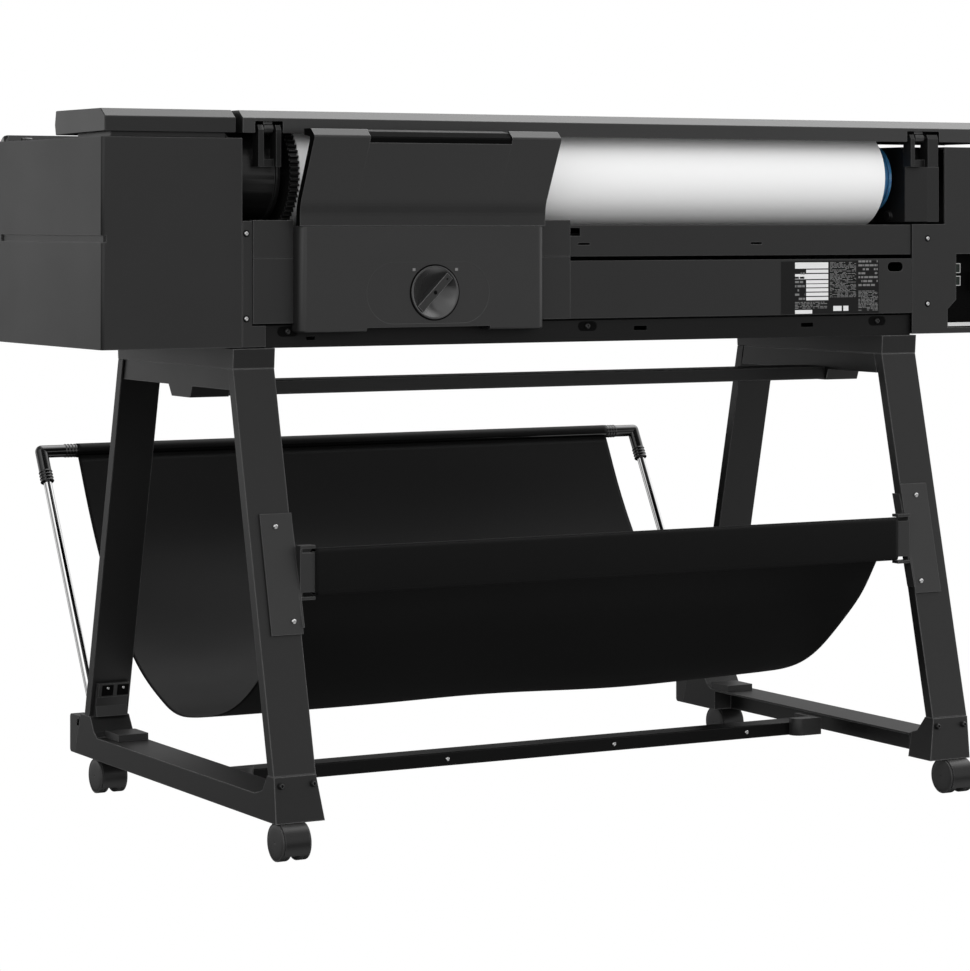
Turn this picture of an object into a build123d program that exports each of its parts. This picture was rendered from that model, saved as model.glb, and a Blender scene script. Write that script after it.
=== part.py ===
from build123d import *
import math
import os

# Large format roll plotter on a wheeled A-frame stand, in millimetres.
# X runs along the body, Z is up, and Y runs from the rear (paper roll side) to the front (output side).
# Every length along Y is measured from the body's rear face, and every height from the floor. The parts are
# moved by originY as they are written, so that the origin ends up under the middle of the whole object.
originY = -294.45

# Body
halfBody = 707.0
bodyDepth = 440.0
bodyBottom = 626.0
bodyTop = 889.0
wall = 3.0
housingInner = 517.0
slopeStart = 350.0
slopeEnd = 835.0

# Paper roll and its spindle
rollY = 86.8
rollZ = 845.2
rollRadius = 70.3
coreRadius = 28.6
rollLeft = -428.5
rollRight = 485.5
rodRadius = 10.0
gearModule = 140.0 / 60.0
hubTeeth = 60
pinionTeeth = 12
pinionAngle = -42.0
gearWidth = 12.0

# Lid over the paper roll
lidRear = 4.8
lidFront = 168.0
lidBottom = 895.7
lidTop = 924.5
lidSplit = -519.0
hingeY = 11.5
hingeZ = 901.5

# Sheet feeder on the rear face
feederLeft = -446.0
feederRight = -88.0
feederFace = -19.0
partingZ = 778.5
knobX = -252.6
knobZ = 692.8
knobRadius = 34.6

# Paper path and carriage
platenRear = 236.0
platenFront = 352.0
platenTop = 800.0
driveY = 222.0
driveZ = 786.0
driveRadius = 13.0
pinchRadius = 7.0
railY = 262.0
railZ = 850.0
railRadius = 8.0
carriageLeft = 392.0
carriageRight = 488.0
pulleyX = 486.0
pulleyRadius = 8.0
doorPinY = 438.6
doorPinZ = 651.5
panelX = -628.0

# Stand
legOuter = 528.5
legWidth = 58.0
legDepth = 16.0
legTopZ = 599.0
legBottomZ = 104.0
rearLegTop = 4.0
rearLegBottom = -114.0
standMiddle = 186.0
footBottom = 47.0
footTop = 77.5
footRear = -121.0
footFront = 519.6
toeFront = 538.0
wheelRadius = 23.5
stemX = 506.0
stemRadius = 4.5
hoodRadius = 25.0
trail = 12.0
rearWheelY = -112.0
frontWheelY = 456.0

# Paper bin
clothHalf = 447.0
rodY = 713.0
rodZ = 452.0
frontRodRadius = 8.0
tubeX = 501.0
tubeRadius = 6.0
pivotY = 508.0
pivotZ = 84.0
pinRadius = 3.0
barY = -60.0
barBottom = 318.0
barTop = 375.0
clothThick = 2.0

runningGap = 0.05
looseGap = 0.4


def block(x, y, z):
    """Axis-aligned box from three (low, high) pairs."""
    size = Box(x[1] - x[0], y[1] - y[0], z[1] - z[0])
    return Pos((x[0] + x[1]) / 2, (y[0] + y[1]) / 2, (z[0] + z[1]) / 2) * size


def beam(outline, x):
    """Closed (y, z) outline carried along X."""
    face = make_face(Plane.YZ * Polyline(*outline, close=True))
    return Pos(x[0], 0, 0) * extrude(face, amount=x[1] - x[0], dir=(1, 0, 0))


def discX(radius, x, y, z):
    return Pos((x[0] + x[1]) / 2, y, z) * Rot(0, 90, 0) * Cylinder(radius, x[1] - x[0])


def discY(radius, x, y, z):
    return Pos(x, (y[0] + y[1]) / 2, z) * Rot(90, 0, 0) * Cylinder(radius, y[1] - y[0])


def discZ(radius, x, y, z):
    return Pos(x, y, (z[0] + z[1]) / 2) * Cylinder(radius, z[1] - z[0])


def mirrored(shape):
    """The shape and its mirror image on the other side of the middle plane."""
    return [shape, mirror(shape, Plane.YZ)]


def verticalEdges(shape):
    return shape.edges().filter_by(Axis.Z)


def save(shapes, name):
    """Write one named sub-part, moved to the final origin."""
    solids = shapes if isinstance(shapes, list) else [shapes]
    moved = [solid.moved(Location((0, originY, 0))) for solid in solids]
    flat = [solid for item in moved for solid in item.solids()]
    export_step(flat[0] if len(flat) == 1 else Compound(children=flat), f"parts/{name}.step")


def legY(z):
    """Rear face of the rear legs at height z."""
    return rearLegTop + (rearLegBottom - rearLegTop) * (legTopZ - z) / (legTopZ - legBottomZ)


# ---- body ----

def housingOutline(inset):
    """Side profile of an end housing, (y, z), drawn in by inset on every side."""
    top = bodyTop - inset
    slant = inset * 0.55
    return [(inset, bodyBottom + inset), (bodyDepth - inset, bodyBottom + inset),
            (bodyDepth - inset, slopeEnd - slant), (slopeStart - slant, top), (inset, top)]


def baseFrame():
    outer = block((-514, 514), (60, 380), (629.5, 656))
    return outer - block((-511, 511), (63, 377), (632.5, 653))


def housingShell(inner):
    outer = beam(housingOutline(0), (-halfBody, -inner))
    outer = fillet(outer.edges().filter_by(Axis.Z).group_by(Axis.X)[0], 4)
    hollow = beam(housingOutline(wall), (-halfBody + wall, -inner + 1))
    return outer - hollow


def fingerGroove():
    """Horizontal groove that runs along the end face and turns the rear corner."""
    side = block((-halfBody - 1, -halfBody + 2.2), (-1, 338.5), (758.5, 767))
    return side + block((-halfBody - 1, -halfBody + 6), (-1, 2.2), (758.5, 767))


def leftHousing():
    shell = housingShell(housingInner) - fingerGroove() - powerButtonTool(8.4, 12, -6)
    for side in (-1, 1):
        ear = hingeOnSlope(3, 42.5, 3, side) + tiltedBlock(42.5, 3, (0, 5.5), (-0.5, 5), side)
        shell = shell + ear + hingeOnSlope(1.5, 38.5, 9, side)
    return shell


def rightHousing():
    shell = mirror(housingShell(520.5), Plane.YZ) - mirror(fingerGroove(), Plane.YZ)
    shell = shell - block((519, 577), (-1, 132), (780, 890))
    pocketOuter = block((576, 696), (wall, 32), (629, 743))
    pocket = block((597, 690), (-1, 28), (642, 738)) + block((582, 690), (-1, 28), (634, 661))
    corner = Plane.XZ * Polyline((582, 660), (598, 660), (598, 674), close=True)
    pocket = pocket + Pos(0, -1, 0) * extrude(make_face(corner), amount=29, dir=(0, 1, 0))
    opening = block((545, 690), (bodyDepth - 4, bodyDepth + 1), (649.2, 800.8))
    sockets = discX(1 + runningGap, (543.2, 691.8), doorPinY, doorPinZ)
    return shell + pocketOuter - pocket - opening - sockets


def rearTrimCovers():
    """Screwed strip and tab beside the left housing, and the split covers on both feeder pillars."""
    strip = block((-516.7, -503.3), (0, 4), (653, 785)) + block((-516.7, -484.3), (0, 4), (bodyBottom, 653))
    leftX = (-503, -446.5)
    rightX = (-87.5, -39.3)
    covers = [block(x, (-2, 9), z) for x in (leftX, rightX) for z in ((655.3, 738), (738.4, 786))]
    return [strip] + covers


def shortTopCover():
    outline = [(lidRear, lidBottom), (lidRear, 914.7), (18.6, lidTop), (164.4, lidTop), (lidFront, 907),
               (165, lidBottom - 2)]
    cover = beam(outline, (-701, -523.5))
    hollow = block((-698, -526.5), (lidRear + wall, 162), (lidBottom - 4, lidTop - wall - 6))
    plinth = block((-690, -535), (12, 118), (bodyTop, lidBottom + 12))
    return cover - hollow + plinth - block((-686, -539), (16, 114), (bodyTop - 1, lidBottom + 8))


def rollLid():
    """Long lid in flat lengths: two end walls, the rear wall with its knuckles, the top and the front wall."""
    outline = [(lidRear, lidBottom), (lidRear, 914.7), (18.6, lidTop), (164.4, lidTop), (lidFront, 907),
               (165, lidBottom)]
    inner = [(lidRear + wall, lidBottom - 5), (lidRear + wall, 913.2), (19.8, lidTop - wall),
             (163, lidTop - wall), (165, 907), (162, lidBottom - 5)]
    lid = beam(outline, (-514, 701)) - beam(inner, (-511, 698))
    lid = lid - block((-515, -510), (20, 154), (lidBottom - 1, 909))
    for x in hingeNotches():
        lid = lid - block(x, (lidRear - 1, 26), (lidBottom - 1, 910.5))
    for x in hingeKnuckles():
        knuckle = discX(6.5, x, hingeY, hingeZ) + block(x, (hingeY - 3, hingeY + 3), (hingeZ + 3, 912.5))
        web = block(x, (lidRear, hingeY + 3), (910.5, 913))
        lid = lid + (knuckle + web - discX(pinRadius + runningGap, (x[0] - 1, x[1] + 1), hingeY, hingeZ))
    y, z = (lidRear - 20, lidFront + 20), (lidBottom - 20, lidTop + 20)
    ends = [lid & block(x, y, z) for x in ((-520, -511), (698, 705))]
    lengths = [lid & block((-511, 698), part, z) for part in ((y[0], 19.8), (19.8, 162.5), (162.5, y[1]))]
    return ends + lengths


def hingeNotches():
    return [(-497, -458), (515, 571)]


def hingeKnuckles():
    return [(-484, -471), (530, 545)]


def lidHinges():
    """Forked brackets with their pins; the lid's knuckles turn between the prongs."""
    prongs = [[(-493.5, -486), (-469, -462), 853], [(519.5, 526.5), (549, 567), 861]]
    brackets = []
    for left, right, foot in prongs:
        outline = [(2, foot), (20, foot), (20, 890), (18, 906), (5, 906), (2, 900)]
        fork = beam(outline, left) + beam(outline, right)
        fork = fork + block((left[0], right[1]), (10, 20), (foot, foot + 10))
        fork = fork + discX(pinRadius, (left[0] + 1, right[1] - 1), hingeY, hingeZ)
        brackets.append(fork)
    return brackets


def rearUpperPanel():
    x = (-39, 519)
    sheet = block(x, (2, 4.5), (737.5, 779.5)) + block(x, (2, 34), (777, 779.5))
    sheet = sheet - block((-37, -22), (1, 6), (765, 775.5))
    for slot in (-25, 250):
        sheet = sheet - block((slot, slot + 18), (1, 6), (753, 755.5))
    return sheet


def rearLowerPanel():
    sheet = block((-39, 519), (-1, 1.7), (655.3, 732))
    slot = block((484, 497), (-2, 3), (714, 727))
    slot = slot + discY(6.5, 484, (-2, 3), 720.5) + discY(6.5, 497, (-2, 3), 720.5)
    return sheet + block((-39, 519), (1.7, 40), (729.5, 732)) - slot


def rearSkirt():
    sheet = block((-484, 520), (5, 8), (624.5, 653)) + block((-484, 520), (8, 58), (624.5, 627.5))
    for left in (64, 335):
        sheet = sheet - block((left, left + 20), (4, 9), (638.5, 644))
    return sheet - block((-425, -413), (4, 9), (634, 638))


def feederBox():
    outer = block((feederLeft, feederRight), (feederFace, 4.6), (643.5, partingZ - 0.5))
    outer = fillet(outer.edges().filter_by(Axis.Z).group_by(Axis.Y)[0], 10)
    outer = fillet(outer.edges().group_by(Axis.Z)[0].group_by(Axis.Y)[0], 3)
    hollow = block((feederLeft + wall, feederRight - wall), (feederFace + 5, 6), (646.5, partingZ - 3.5))
    box = outer - hollow - block((-351, -171), (feederFace - 1, 17), (640, 648.5))
    box = box + block((-351, -171), (feederFace + 5, 4.6), (648.5, 651))
    stadium = block((-311.5, -211.5), (feederFace - 1, feederFace + 0.4), (653, 732))
    for x in (-311.5, -211.5):
        stadium = stadium + discY(39.5, x, (feederFace - 1, feederFace + 0.4), 692.5)
    socket = discY(knobRadius + 3, knobX, (feederFace + 1, 4), knobZ)
    return box - stadium + socket - discY(knobRadius + looseGap, knobX, (feederFace - 2, 1), knobZ) \
        - discY(5 + runningGap, knobX, (-5, 8), knobZ)


def feederKnob():
    """Scooped dial whose finger bar stands at 45 degrees."""
    dial = discY(knobRadius, knobX, (feederFace - 1.5, 0), knobZ)
    scoop = Pos(knobX, feederFace - 2, knobZ) * Rot(-90, 0, 0) * Cone(31.5, 24, 20)
    scoop = scoop & discY(40, knobX, (feederFace - 5, feederFace + 9), knobZ)
    bar = Pos(knobX, feederFace + 3.5, knobZ) * Rot(0, -45, 0) * Box(62, 11, 11)
    marker = discY(2.4, knobX, (feederFace - 3, feederFace - 1.4), knobZ)
    return dial - scoop + bar - marker + discY(5, knobX, (-1, 10), knobZ)


def feederFlap():
    outline = [(feederFace, partingZ), (feederFace, 798), (-20.5, 806), (-25, 815), (-61, 889.5), (-60, 892.5),
               (-51.5, 900), (-49, 901), (-32, 901), (-32, 893), (-49.5, 889), (-14.5, 814), (-11, 806),
               (-9, 797), (-9, partingZ)]
    slot = [(-62, 884), (-51, 884), (-50.5, 898.5), (-62, 898.5)]
    return beam(outline, (feederLeft, feederRight)) - beam(slot, (-367, -161))


# ---- roll ----

def gear(teeth, width, boreRadius):
    """Spur gear along Z, centred on the origin, with one tooth pointing along +X."""
    pitch = gearModule * teeth / 2
    root = pitch - 2.6
    half = math.pi * gearModule / 4 - 0.25
    body = Cylinder(root, width)
    profile = [(root - 1, -half - 0.7), (pitch, -half), (pitch + 2, -half + 0.75),
               (pitch + 2, half - 0.75), (pitch, half), (root - 1, half + 0.7)]
    tooth = extrude(make_face(Polyline(*profile, close=True)), amount=width / 2, both=True)
    ring = [Rot(0, 0, 360 * i / teeth) * tooth for i in range(teeth)]
    return body + ring - Cylinder(boreRadius, width + 2)


def alongX(shape, x, y, z, turn):
    """Lay a shape built on Z along X; turn counts from +Y towards +Z."""
    return Pos(x, y, z) * Rot(90, 0, 0) * Rot(0, 90, 0) * Rot(0, 0, turn) * shape


def gearedHub():
    wheel = alongX(gear(hubTeeth, gearWidth, rodRadius), rollLeft - 1 - gearWidth / 2, rollY, rollZ, 0)
    plug = discX(coreRadius - 0.2, (rollLeft - 1, rollLeft + 45), rollY, rollZ)
    return wheel + plug - discX(rodRadius, (rollLeft - 20, rollLeft + 50), rollY, rollZ)


def blueHub():
    hub = discX(47.4, (rollRight + 0.3, rollRight + 8), rollY, rollZ)
    hub = hub + discX(44, (rollRight + 8, rollRight + 24), rollY, rollZ)
    hub = hub + discX(47.4, (rollRight + 24, rollRight + 28), rollY, rollZ)
    hub = hub + discX(coreRadius - 0.2, (rollRight - 45, rollRight + 1), rollY, rollZ)
    return hub - discX(rodRadius, (rollRight - 50, rollRight + 40), rollY, rollZ)


def spindleRod():
    return discX(rodRadius, (-488, 563), rollY, rollZ)


def paperRoll():
    wound = discX(rollRadius, (rollLeft, rollRight), rollY, rollZ)
    return wound - discX(coreRadius, (rollLeft - 1, rollRight + 1), rollY, rollZ)


def pinionCentre():
    distance = gearModule * (hubTeeth + pinionTeeth) / 2 + 0.15
    turn = math.radians(pinionAngle)
    return rollY + distance * math.cos(turn), rollZ + distance * math.sin(turn)


def spindlePinion():
    y, z = pinionCentre()
    x = rollLeft - 1 - gearWidth / 2
    wheel = alongX(gear(pinionTeeth, gearWidth, 3.5), x, y, z, 180 + pinionAngle + 180 / pinionTeeth)
    return wheel + discX(3.5, (x - 26, x + gearWidth / 2), y, z)


def leftSpindleHolder():
    """Drum-shaped cover that holds the bearing of the spindle's driven end."""
    drum = discX(59, (-516.5, -452), rollY, rollZ) - discX(54, (-513.5, -455), rollY, rollZ)
    rim = discX(62, (-458, -452), rollY, rollZ) - discX(54, (-459, -451), rollY, rollZ)
    drum = drum + rim
    return drum - discX(rodRadius + runningGap, (-500, -450), rollY, rollZ)


def rightSpindleHolder():
    """Post with a chamfered inner corner and a top that slants down to the rear."""
    outline = [(0, 783), (0, 860.8), (20.2, 860.8), (32, bodyTop), (130, bodyTop), (130, 783)]
    post = beam(outline, (526, 567))
    chamfer = Plane.XY * Polyline((525, -1), (548, -1), (525, 27), close=True)
    post = post - Pos(0, 0, 780) * extrude(make_face(chamfer), amount=110, dir=(0, 0, 1))
    post = post - discX(rodRadius + runningGap, (520, 570), rollY, rollZ)
    web = block((521, 527), (100, 130), (783, 850))
    nub = discX(7, (521, 530), 62, 792)
    return post + web + nub


def driveMotors():
    """Motor behind the spindle's pinion and the motor under the carriage belt's right end."""
    y, z = pinionCentre()
    x = rollLeft - 1 - gearWidth / 2
    spindleMotor = discX(14, (x - 66, x - 25), y, z) - discX(3.6, (x - 30, x - 24), y, z)
    beltMotor = discY(17, pulleyX, (188, 224), 838) - discY(3.6, pulleyX, (218, 225), 838)
    return [spindleMotor, beltMotor]


def rollBayLiner():
    """Sheet-metal floor and front wall of the roll bay."""
    outline = [(40, 765), (172, 765), (172, 883), (169, 883), (169, 768), (40, 768)]
    return beam(outline, (-446, 517))


# ---- paper path ----

def platen():
    plate = block((-480, 485), (platenRear + 1, platenFront), (platenTop - 8, platenTop - 1.5))
    ribs = [block((x, x + 3), (platenRear + 4, platenFront - 4), (platenTop - 1.5, platenTop))
            for x in range(-470, 480, 30)]
    return plate + ribs


def driveRoller():
    return discX(driveRadius, (-490, 490), driveY, driveZ) + discX(5, (-510.5, 510.5), driveY, driveZ)


def pinchZ():
    return driveZ + driveRadius + pinchRadius + 0.3


def pinchRollers():
    shaft = discX(2.5, (-510.5, 510.5), driveY, pinchZ())
    return shaft + [discX(pinchRadius, (x, x + 60), driveY, pinchZ()) for x in range(-470, 460, 90)]


def carriageRail():
    """Round guide rod, flat front guide and the two end plates that carry them."""
    rod = discX(railRadius, (-508, 508), railY, railZ)
    guide = block((-508, 508), (334, 346), (836, 848))
    plate = block((508, 511), (195, 350), (770, 868))
    shafts = discX(5 + runningGap, (500, 520), driveY, driveZ)
    shafts = shafts + discX(2.5 + runningGap, (500, 520), driveY, pinchZ())
    return [rod + guide + plate - shafts + mirror(plate - shafts, Plane.YZ)]


def carriage():
    body = block((carriageLeft, carriageRight), (248, 330), (804, 866))
    body = fillet(body.edges().filter_by(Axis.Z), 4)
    body = body - discX(railRadius + runningGap, (carriageLeft - 1, carriageRight + 1), railY, railZ)
    pens = [block((x, x + 14), (285, 322), (866, 872)) for x in range(400, 476, 20)]
    return body + pens


def carriageBelt():
    """Toothed belt drawn as its smooth outer loop, on edge behind the carriage."""
    def loop(radius):
        band = block((-pulleyX, pulleyX), (237, 243), (838 - radius, 838 + radius))
        return band + discY(radius, pulleyX, (237, 243), 838) + discY(radius, -pulleyX, (237, 243), 838)
    return loop(pulleyRadius + 2) - loop(pulleyRadius + 0.35)


def pulley(x):
    wheel = discY(pulleyRadius, x, (236.5, 243.5), 838)
    return wheel + discY(3.5, x, (222, 236.5), 838)


# ---- front ----

def topDeck():
    plate = block((-516.5, 519), (174, 200), (886, bodyTop))
    plate = plate + block((-516.5, 519), (174, 178), (bodyTop - 1, 894.5))
    ear = block((511.5, 514), (195, 218), (874, 886)) + block((511.5, 514), (195, 200), (885, 887))
    ear = ear - discX(2.5 + runningGap, (505, 520), 210, 881)
    return plate + ear + mirror(ear, Plane.YZ)


def frontWindow():
    outline = [(205, bodyTop), (slopeStart, bodyTop), (425, 844.5), (423.5, 842), (slopeStart - 1, bodyTop - 3),
               (205, bodyTop - 3)]
    pane = beam(outline, (-509.5, 509.5))
    for x in ((-514, -506), (506, 514)):
        pane = pane + discX(2.5, x, 210, 881)
    for x in ((-509.5, -506), (506, 509.5)):
        pane = pane + block(x, (206, 214), (878, bodyTop - 2))
    return pane


def frontFascia():
    outline = [(427, 843.5), (bodyDepth, slopeEnd), (bodyDepth, 801), (432, 796), (427, 803)]
    return beam(outline, (-516.5, 520))


def frontPanel():
    """Front wall and the paper's exit slope above it."""
    slope = [(354, 790), (436, 773), (bodyDepth, 776), (354, 794)]
    wallOutline = [(436, 773), (436, 629), (bodyDepth, 629), (bodyDepth, 776)]
    return [beam(outline, (-516.5, 520)) for outline in (slope, wallOutline)]


def inkDoor():
    """Cartridge door that swings down about the two pins at its lower corners."""
    door = block((545.6, 689.4), (bodyDepth - 2.8, bodyDepth), (650.1, 800))
    door = fillet(door.edges().filter_by(Axis.Y), 1.2)
    pins = discX(1, (543.4, 546), doorPinY, doorPinZ) + discX(1, (689, 691.6), doorPinY, doorPinZ)
    return door - block((600, 635), (bodyDepth - 1, bodyDepth + 1), (790, 796)) + pins


def inkCartridges():
    return [block((x, x + 26), (330, 430), (664, 778)) for x in range(552, 680, 34)]


def onSlope(x, along, out):
    """Point on the sloped top front, counted down the slope and outwards from it."""
    dy, dz = bodyDepth - slopeStart, slopeEnd - bodyTop
    length = math.hypot(dy, dz)
    return x, slopeStart + (dy * along - dz * out) / length, bodyTop + (dz * along + dy * out) / length


def slopeTurn():
    return math.degrees(math.atan2(slopeEnd - bodyTop, bodyDepth - slopeStart))


def hingeOnSlope(radius, across, width, side):
    """Disc about the screen's tilt axis, across from the screen's middle plane."""
    return Pos(*onSlope(panelX + side * across, 2.5, 5)) * Rot(0, 90, 0) * Cylinder(radius, width)


def tiltedBlock(across, width, along, out, side):
    """Block that lies on the slope, spanning along and out from it."""
    size = Box(width, along[1] - along[0], out[1] - out[0])
    middle = onSlope(panelX + side * across, (along[0] + along[1]) / 2, (out[0] + out[1]) / 2)
    return Pos(*middle) * Rot(slopeTurn(), 0, 0) * size


def controlPanel():
    """Screen unit that lies on the slope and tips up on two lugs at its upper edge."""
    slab = fillet(Box(132, 92, 13).edges().filter_by(Axis.Z), 6)
    panel = Pos(*onSlope(panelX, 52, 8)) * Rot(slopeTurn(), 0, 0) * slab
    for side in (-1, 1):
        lug = hingeOnSlope(3, 35, 10, side) + tiltedBlock(35, 10, (2.5, 8), (2, 8), side)
        panel = panel + lug - hingeOnSlope(1.5 + runningGap, 35, 12, side)
    return panel


def powerButtonTool(radius, length, start):
    return Pos(*onSlope(-540, 30, start + length / 2)) * Rot(slopeTurn(), 0, 0) * Cylinder(radius, length)


def powerButton():
    return powerButtonTool(8, 6, -3.5)


def electronics():
    """Main board on its spacers, with the two data sockets that reach the rear recess, and the supply."""
    board = block((600, 690), (60, 62), (665, 760))
    chips = [block((615, 640), (62, 66), (690, 715)), block((655, 675), (62, 65), (720, 745))]
    sockets = [block((601, 617), (18, 27.9), z) for z in ((711, 724), (693, 706))]
    supply = block((555, 592), (80, 250), (640, 720))
    return [board + chips, *sockets, supply]


def powerInlet():
    body = block((640, 668), (16, 27.9), (684, 712))
    hole = block((643, 665), (15, 26), (689, 707))
    pins = [discY(1.6, x, (19, 26.5), z) for x, z in ((648, 694), (660, 694), (654, 702))]
    bezel = block((668, 688), (18, 27.9), (684, 712)) - block((671.5, 684.5), (17, 27), (687, 709))
    bezel = bezel - discX(1.2 + runningGap, (669.8, 686.2), 23, 698)
    return body - hole + pins + bezel


def powerSwitch():
    return block((672, 684), (20, 25), (688, 708)) + discX(1.2, (670, 686), 23, 698)


# ---- stand ----

def slantedTube(top, bottom, x):
    """Rectangular tube whose (y, z) section leans from top to bottom; both ends are level."""
    def outline(inset):
        return [(top + inset, legTopZ + inset), (top + legDepth - inset, legTopZ + inset),
                (bottom + legDepth - inset, legBottomZ - inset), (bottom + inset, legBottomZ - inset)]
    tube = beam(outline(0), x)
    return tube - beam(outline(2), (x[0] + 2, x[1] - 2))


def mirrorY(y):
    """The place opposite y, in front of the stand's middle plane."""
    return 2 * standMiddle - y


def standLegs():
    x = (-legOuter, -legOuter + legWidth)
    rear = slantedTube(rearLegTop, rearLegBottom, x)
    front = slantedTube(mirrorY(rearLegTop) - legDepth, mirrorY(rearLegBottom) - legDepth, x)
    return mirrored(rear) + mirrored(front)


def topBrackets():
    """Head of each A-frame: a cap over both leg ends, a lower web and the tab that takes the crossbar."""
    x = (-legOuter, -legOuter + legWidth)
    rear, front = rearLegTop, mirrorY(rearLegTop)
    low, high = legTopZ + 0.1, bodyBottom - 1.6
    head = beam([(rear, low), (rear - 2, high), (front + 2, high), (front, low)], x)
    web = beam([(rear + 18, legTopZ + 1), (front - 18, legTopZ + 1), (front - 12, 572), (208, 572), (198, 557),
                (140, 557), (134, 572), (rear + 12, 572)], (x[0] + 3, x[1] - 0.2))
    return mirrored(head + web)


def crossbars():
    upper = block((-470.3, 470.3), (141, 198), (558, 576.5)) - block((-480, 480), (143, 196), (560, 574.5))
    lower = block((-459, 459), (166, 202), (47.5, 66)) - block((-470, 470), (168, 200), (49.5, 64))
    return [upper, lower]


def feet():
    """Lower rail of each A-frame, raised at both ends where the legs stand, with sockets for the casters."""
    x = (-legOuter, -legOuter + legWidth)
    shelf = legBottomZ - 0.1
    outline = [(footRear, footBottom), (footFront, footBottom), (footFront - 16.3, 95.5), (500, shelf), (466, shelf),
               (452, 84), (442, footTop), (-60, footTop), (-82, 84), (-96, shelf), (-115, shelf)]
    rail = beam(outline, x)
    wedge = Plane.XZ * Polyline((x[1] - 0.5, footBottom), (x[1] + 9, footBottom), (x[1] - 0.5, shelf), close=True)
    flare = Pos(0, -70, 0) * extrude(make_face(wedge), amount=60, dir=(0, -1, 0))
    rail = rail + (flare & beam(outline, (x[1] - 1, x[1] + 10)))
    rail = rail - block((-500, -469), (-60, 430), (footBottom - 1, footTop - 3))
    rail = rail - block((-tubeX - 12.5, -tubeX + 12.5), (496, footFront + 1), (70, shelf + 1))
    for wheelY in (rearWheelY, frontWheelY):
        rail = rail - discZ(stemRadius + runningGap, -stemX, wheelY + trail, (footBottom - 1, 76))
    return mirrored(rail)


def footCaps():
    """Black mouldings: toe caps with the bin's pivot pins, leg shoes and the crossbar's corner pieces."""
    outline = [(footFront + 0.2, footBottom), (toeFront, footBottom), (toeFront, 100), (footFront - 17.6, 100)]
    cap = beam(outline, (-legOuter, -legOuter + legWidth))
    cap = fillet(cap.edges().filter_by(Axis.X).group_by(Axis.Y)[-1], 5)
    slot = block((-tubeX - 8, -tubeX + 8), (496, toeFront + 1), (70, 101))
    slot = slot + block((-legOuter - 1, -legOuter + 2), (507, 513.5), (86.5, 95))
    pin = discX(pinRadius, (-tubeX - 12, -tubeX + 12), pivotY, pivotZ)
    for x in ((-tubeX - 12, -tubeX - 8), (-tubeX + 8, -tubeX + 12)):
        pin = pin + block(x, (501, 524), (78, 92))
    cap = cap - slot + pin
    ledge = block((-516, -472), (396, 441), (footTop + 0.1, 87))
    low, high = legBottomZ + 0.2, 150.0
    face = [mirrorY(legY(z)) - legDepth - 0.2 for z in (low, high)]
    shoe = beam([(face[0], low), (face[1], high), (face[1] - 3, high), (face[1] + 3, 118), (face[0] - 13, low)],
                (-522, -476))
    corner = block((-469.9, -425), (150, 165.9), (47.5, 72)) + block((-469.9, -459.1), (165.9, 202), (47.5, 72))
    corner = fillet(corner.edges().filter_by(Axis.Z).group_by(Axis.Y)[0].group_by(Axis.X)[-1], 14)
    return mirrored(cap) + mirrored(shoe) + mirrored(ledge) + mirrored(corner)


def casterHood(x, y):
    """Swivelling body of a twin-wheel caster: stem, fender over both treads and the axle."""
    middle, fender = (x - 4.3, x + 4.3), (x - 16.8, x + 16.8)
    hood = discX(hoodRadius, middle, y, wheelRadius) + discX(hoodRadius, fender, y, wheelRadius)
    for side in ((fender[0] - 1, middle[0]), (middle[1], fender[1] + 1)):
        hood = hood - discX(wheelRadius + 0.5, side, y, wheelRadius)
    hood = hood - block((x - 25, x + 25), (y - 30, y + 30), (-2, 9))
    hood = hood - block((x - 25, x + 25), (y - 30, y + 30), (footBottom - 0.6, 50))
    hood = hood + block((x - 4.3, x + 4.3), (y, y + trail + 5), (34, 44))
    return hood + discZ(stemRadius, x, y + trail, (34, 70)) + discX(3, (x - 19, x + 19), y, wheelRadius)


def casterWheels(x, y):
    wheels = []
    for side in (-1, 1):
        inner, outer = sorted((x + side * 5, x + side * 20))
        wheel = discX(wheelRadius, (inner, outer), y, wheelRadius)
        wheel = fillet(wheel.edges().filter_by(GeomType.CIRCLE), 2)
        wheels.append(wheel - discX(3 + runningGap, (x - 19.1, x + 19.1), y, wheelRadius))
    return wheels


# ---- bin ----

def binBrackets():
    """Plate on each rear leg with two curved horns that hold the end of the rear bar."""
    top, bottom = 420.0, 272.0
    plate = beam([(legY(top), top), (legY(top) - 3, top), (legY(bottom) - 3, bottom), (legY(bottom), bottom)],
                 (-513, -469))
    high, low = top - 14, bottom + 8
    side = beam([(legY(top), high), (legY(top) - 3, high), (legY(bottom) - 3, low), (legY(bottom) + 14, low),
                 (legY(top) + 14, high)], (-470.3, -467.3))
    arm = block((-468, -448), (barY - 5, barY + 7), (barBottom + 4, barTop - 4))
    horns = [block((-468, -clothHalf - looseGap), (barY - 6, barY + 8), (z - 2, z + 2))
             for z in (barBottom - 3.5, barTop + 3.5)]
    back = block((-468, -465), (barY - 5, barY + 7), (barBottom - 4, barTop + 4))
    return mirrored(plate + side + arm + back + horns[0] + horns[1])


def binRearBar():
    outer = block((-447.8, 447.8), (barY - 4, barY + 4), (barBottom + 3, barTop - 3))
    return outer - block((-450, 450), (barY - 2.5, barY + 2.5), (barBottom + 4.5, barTop - 4.5))


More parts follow.
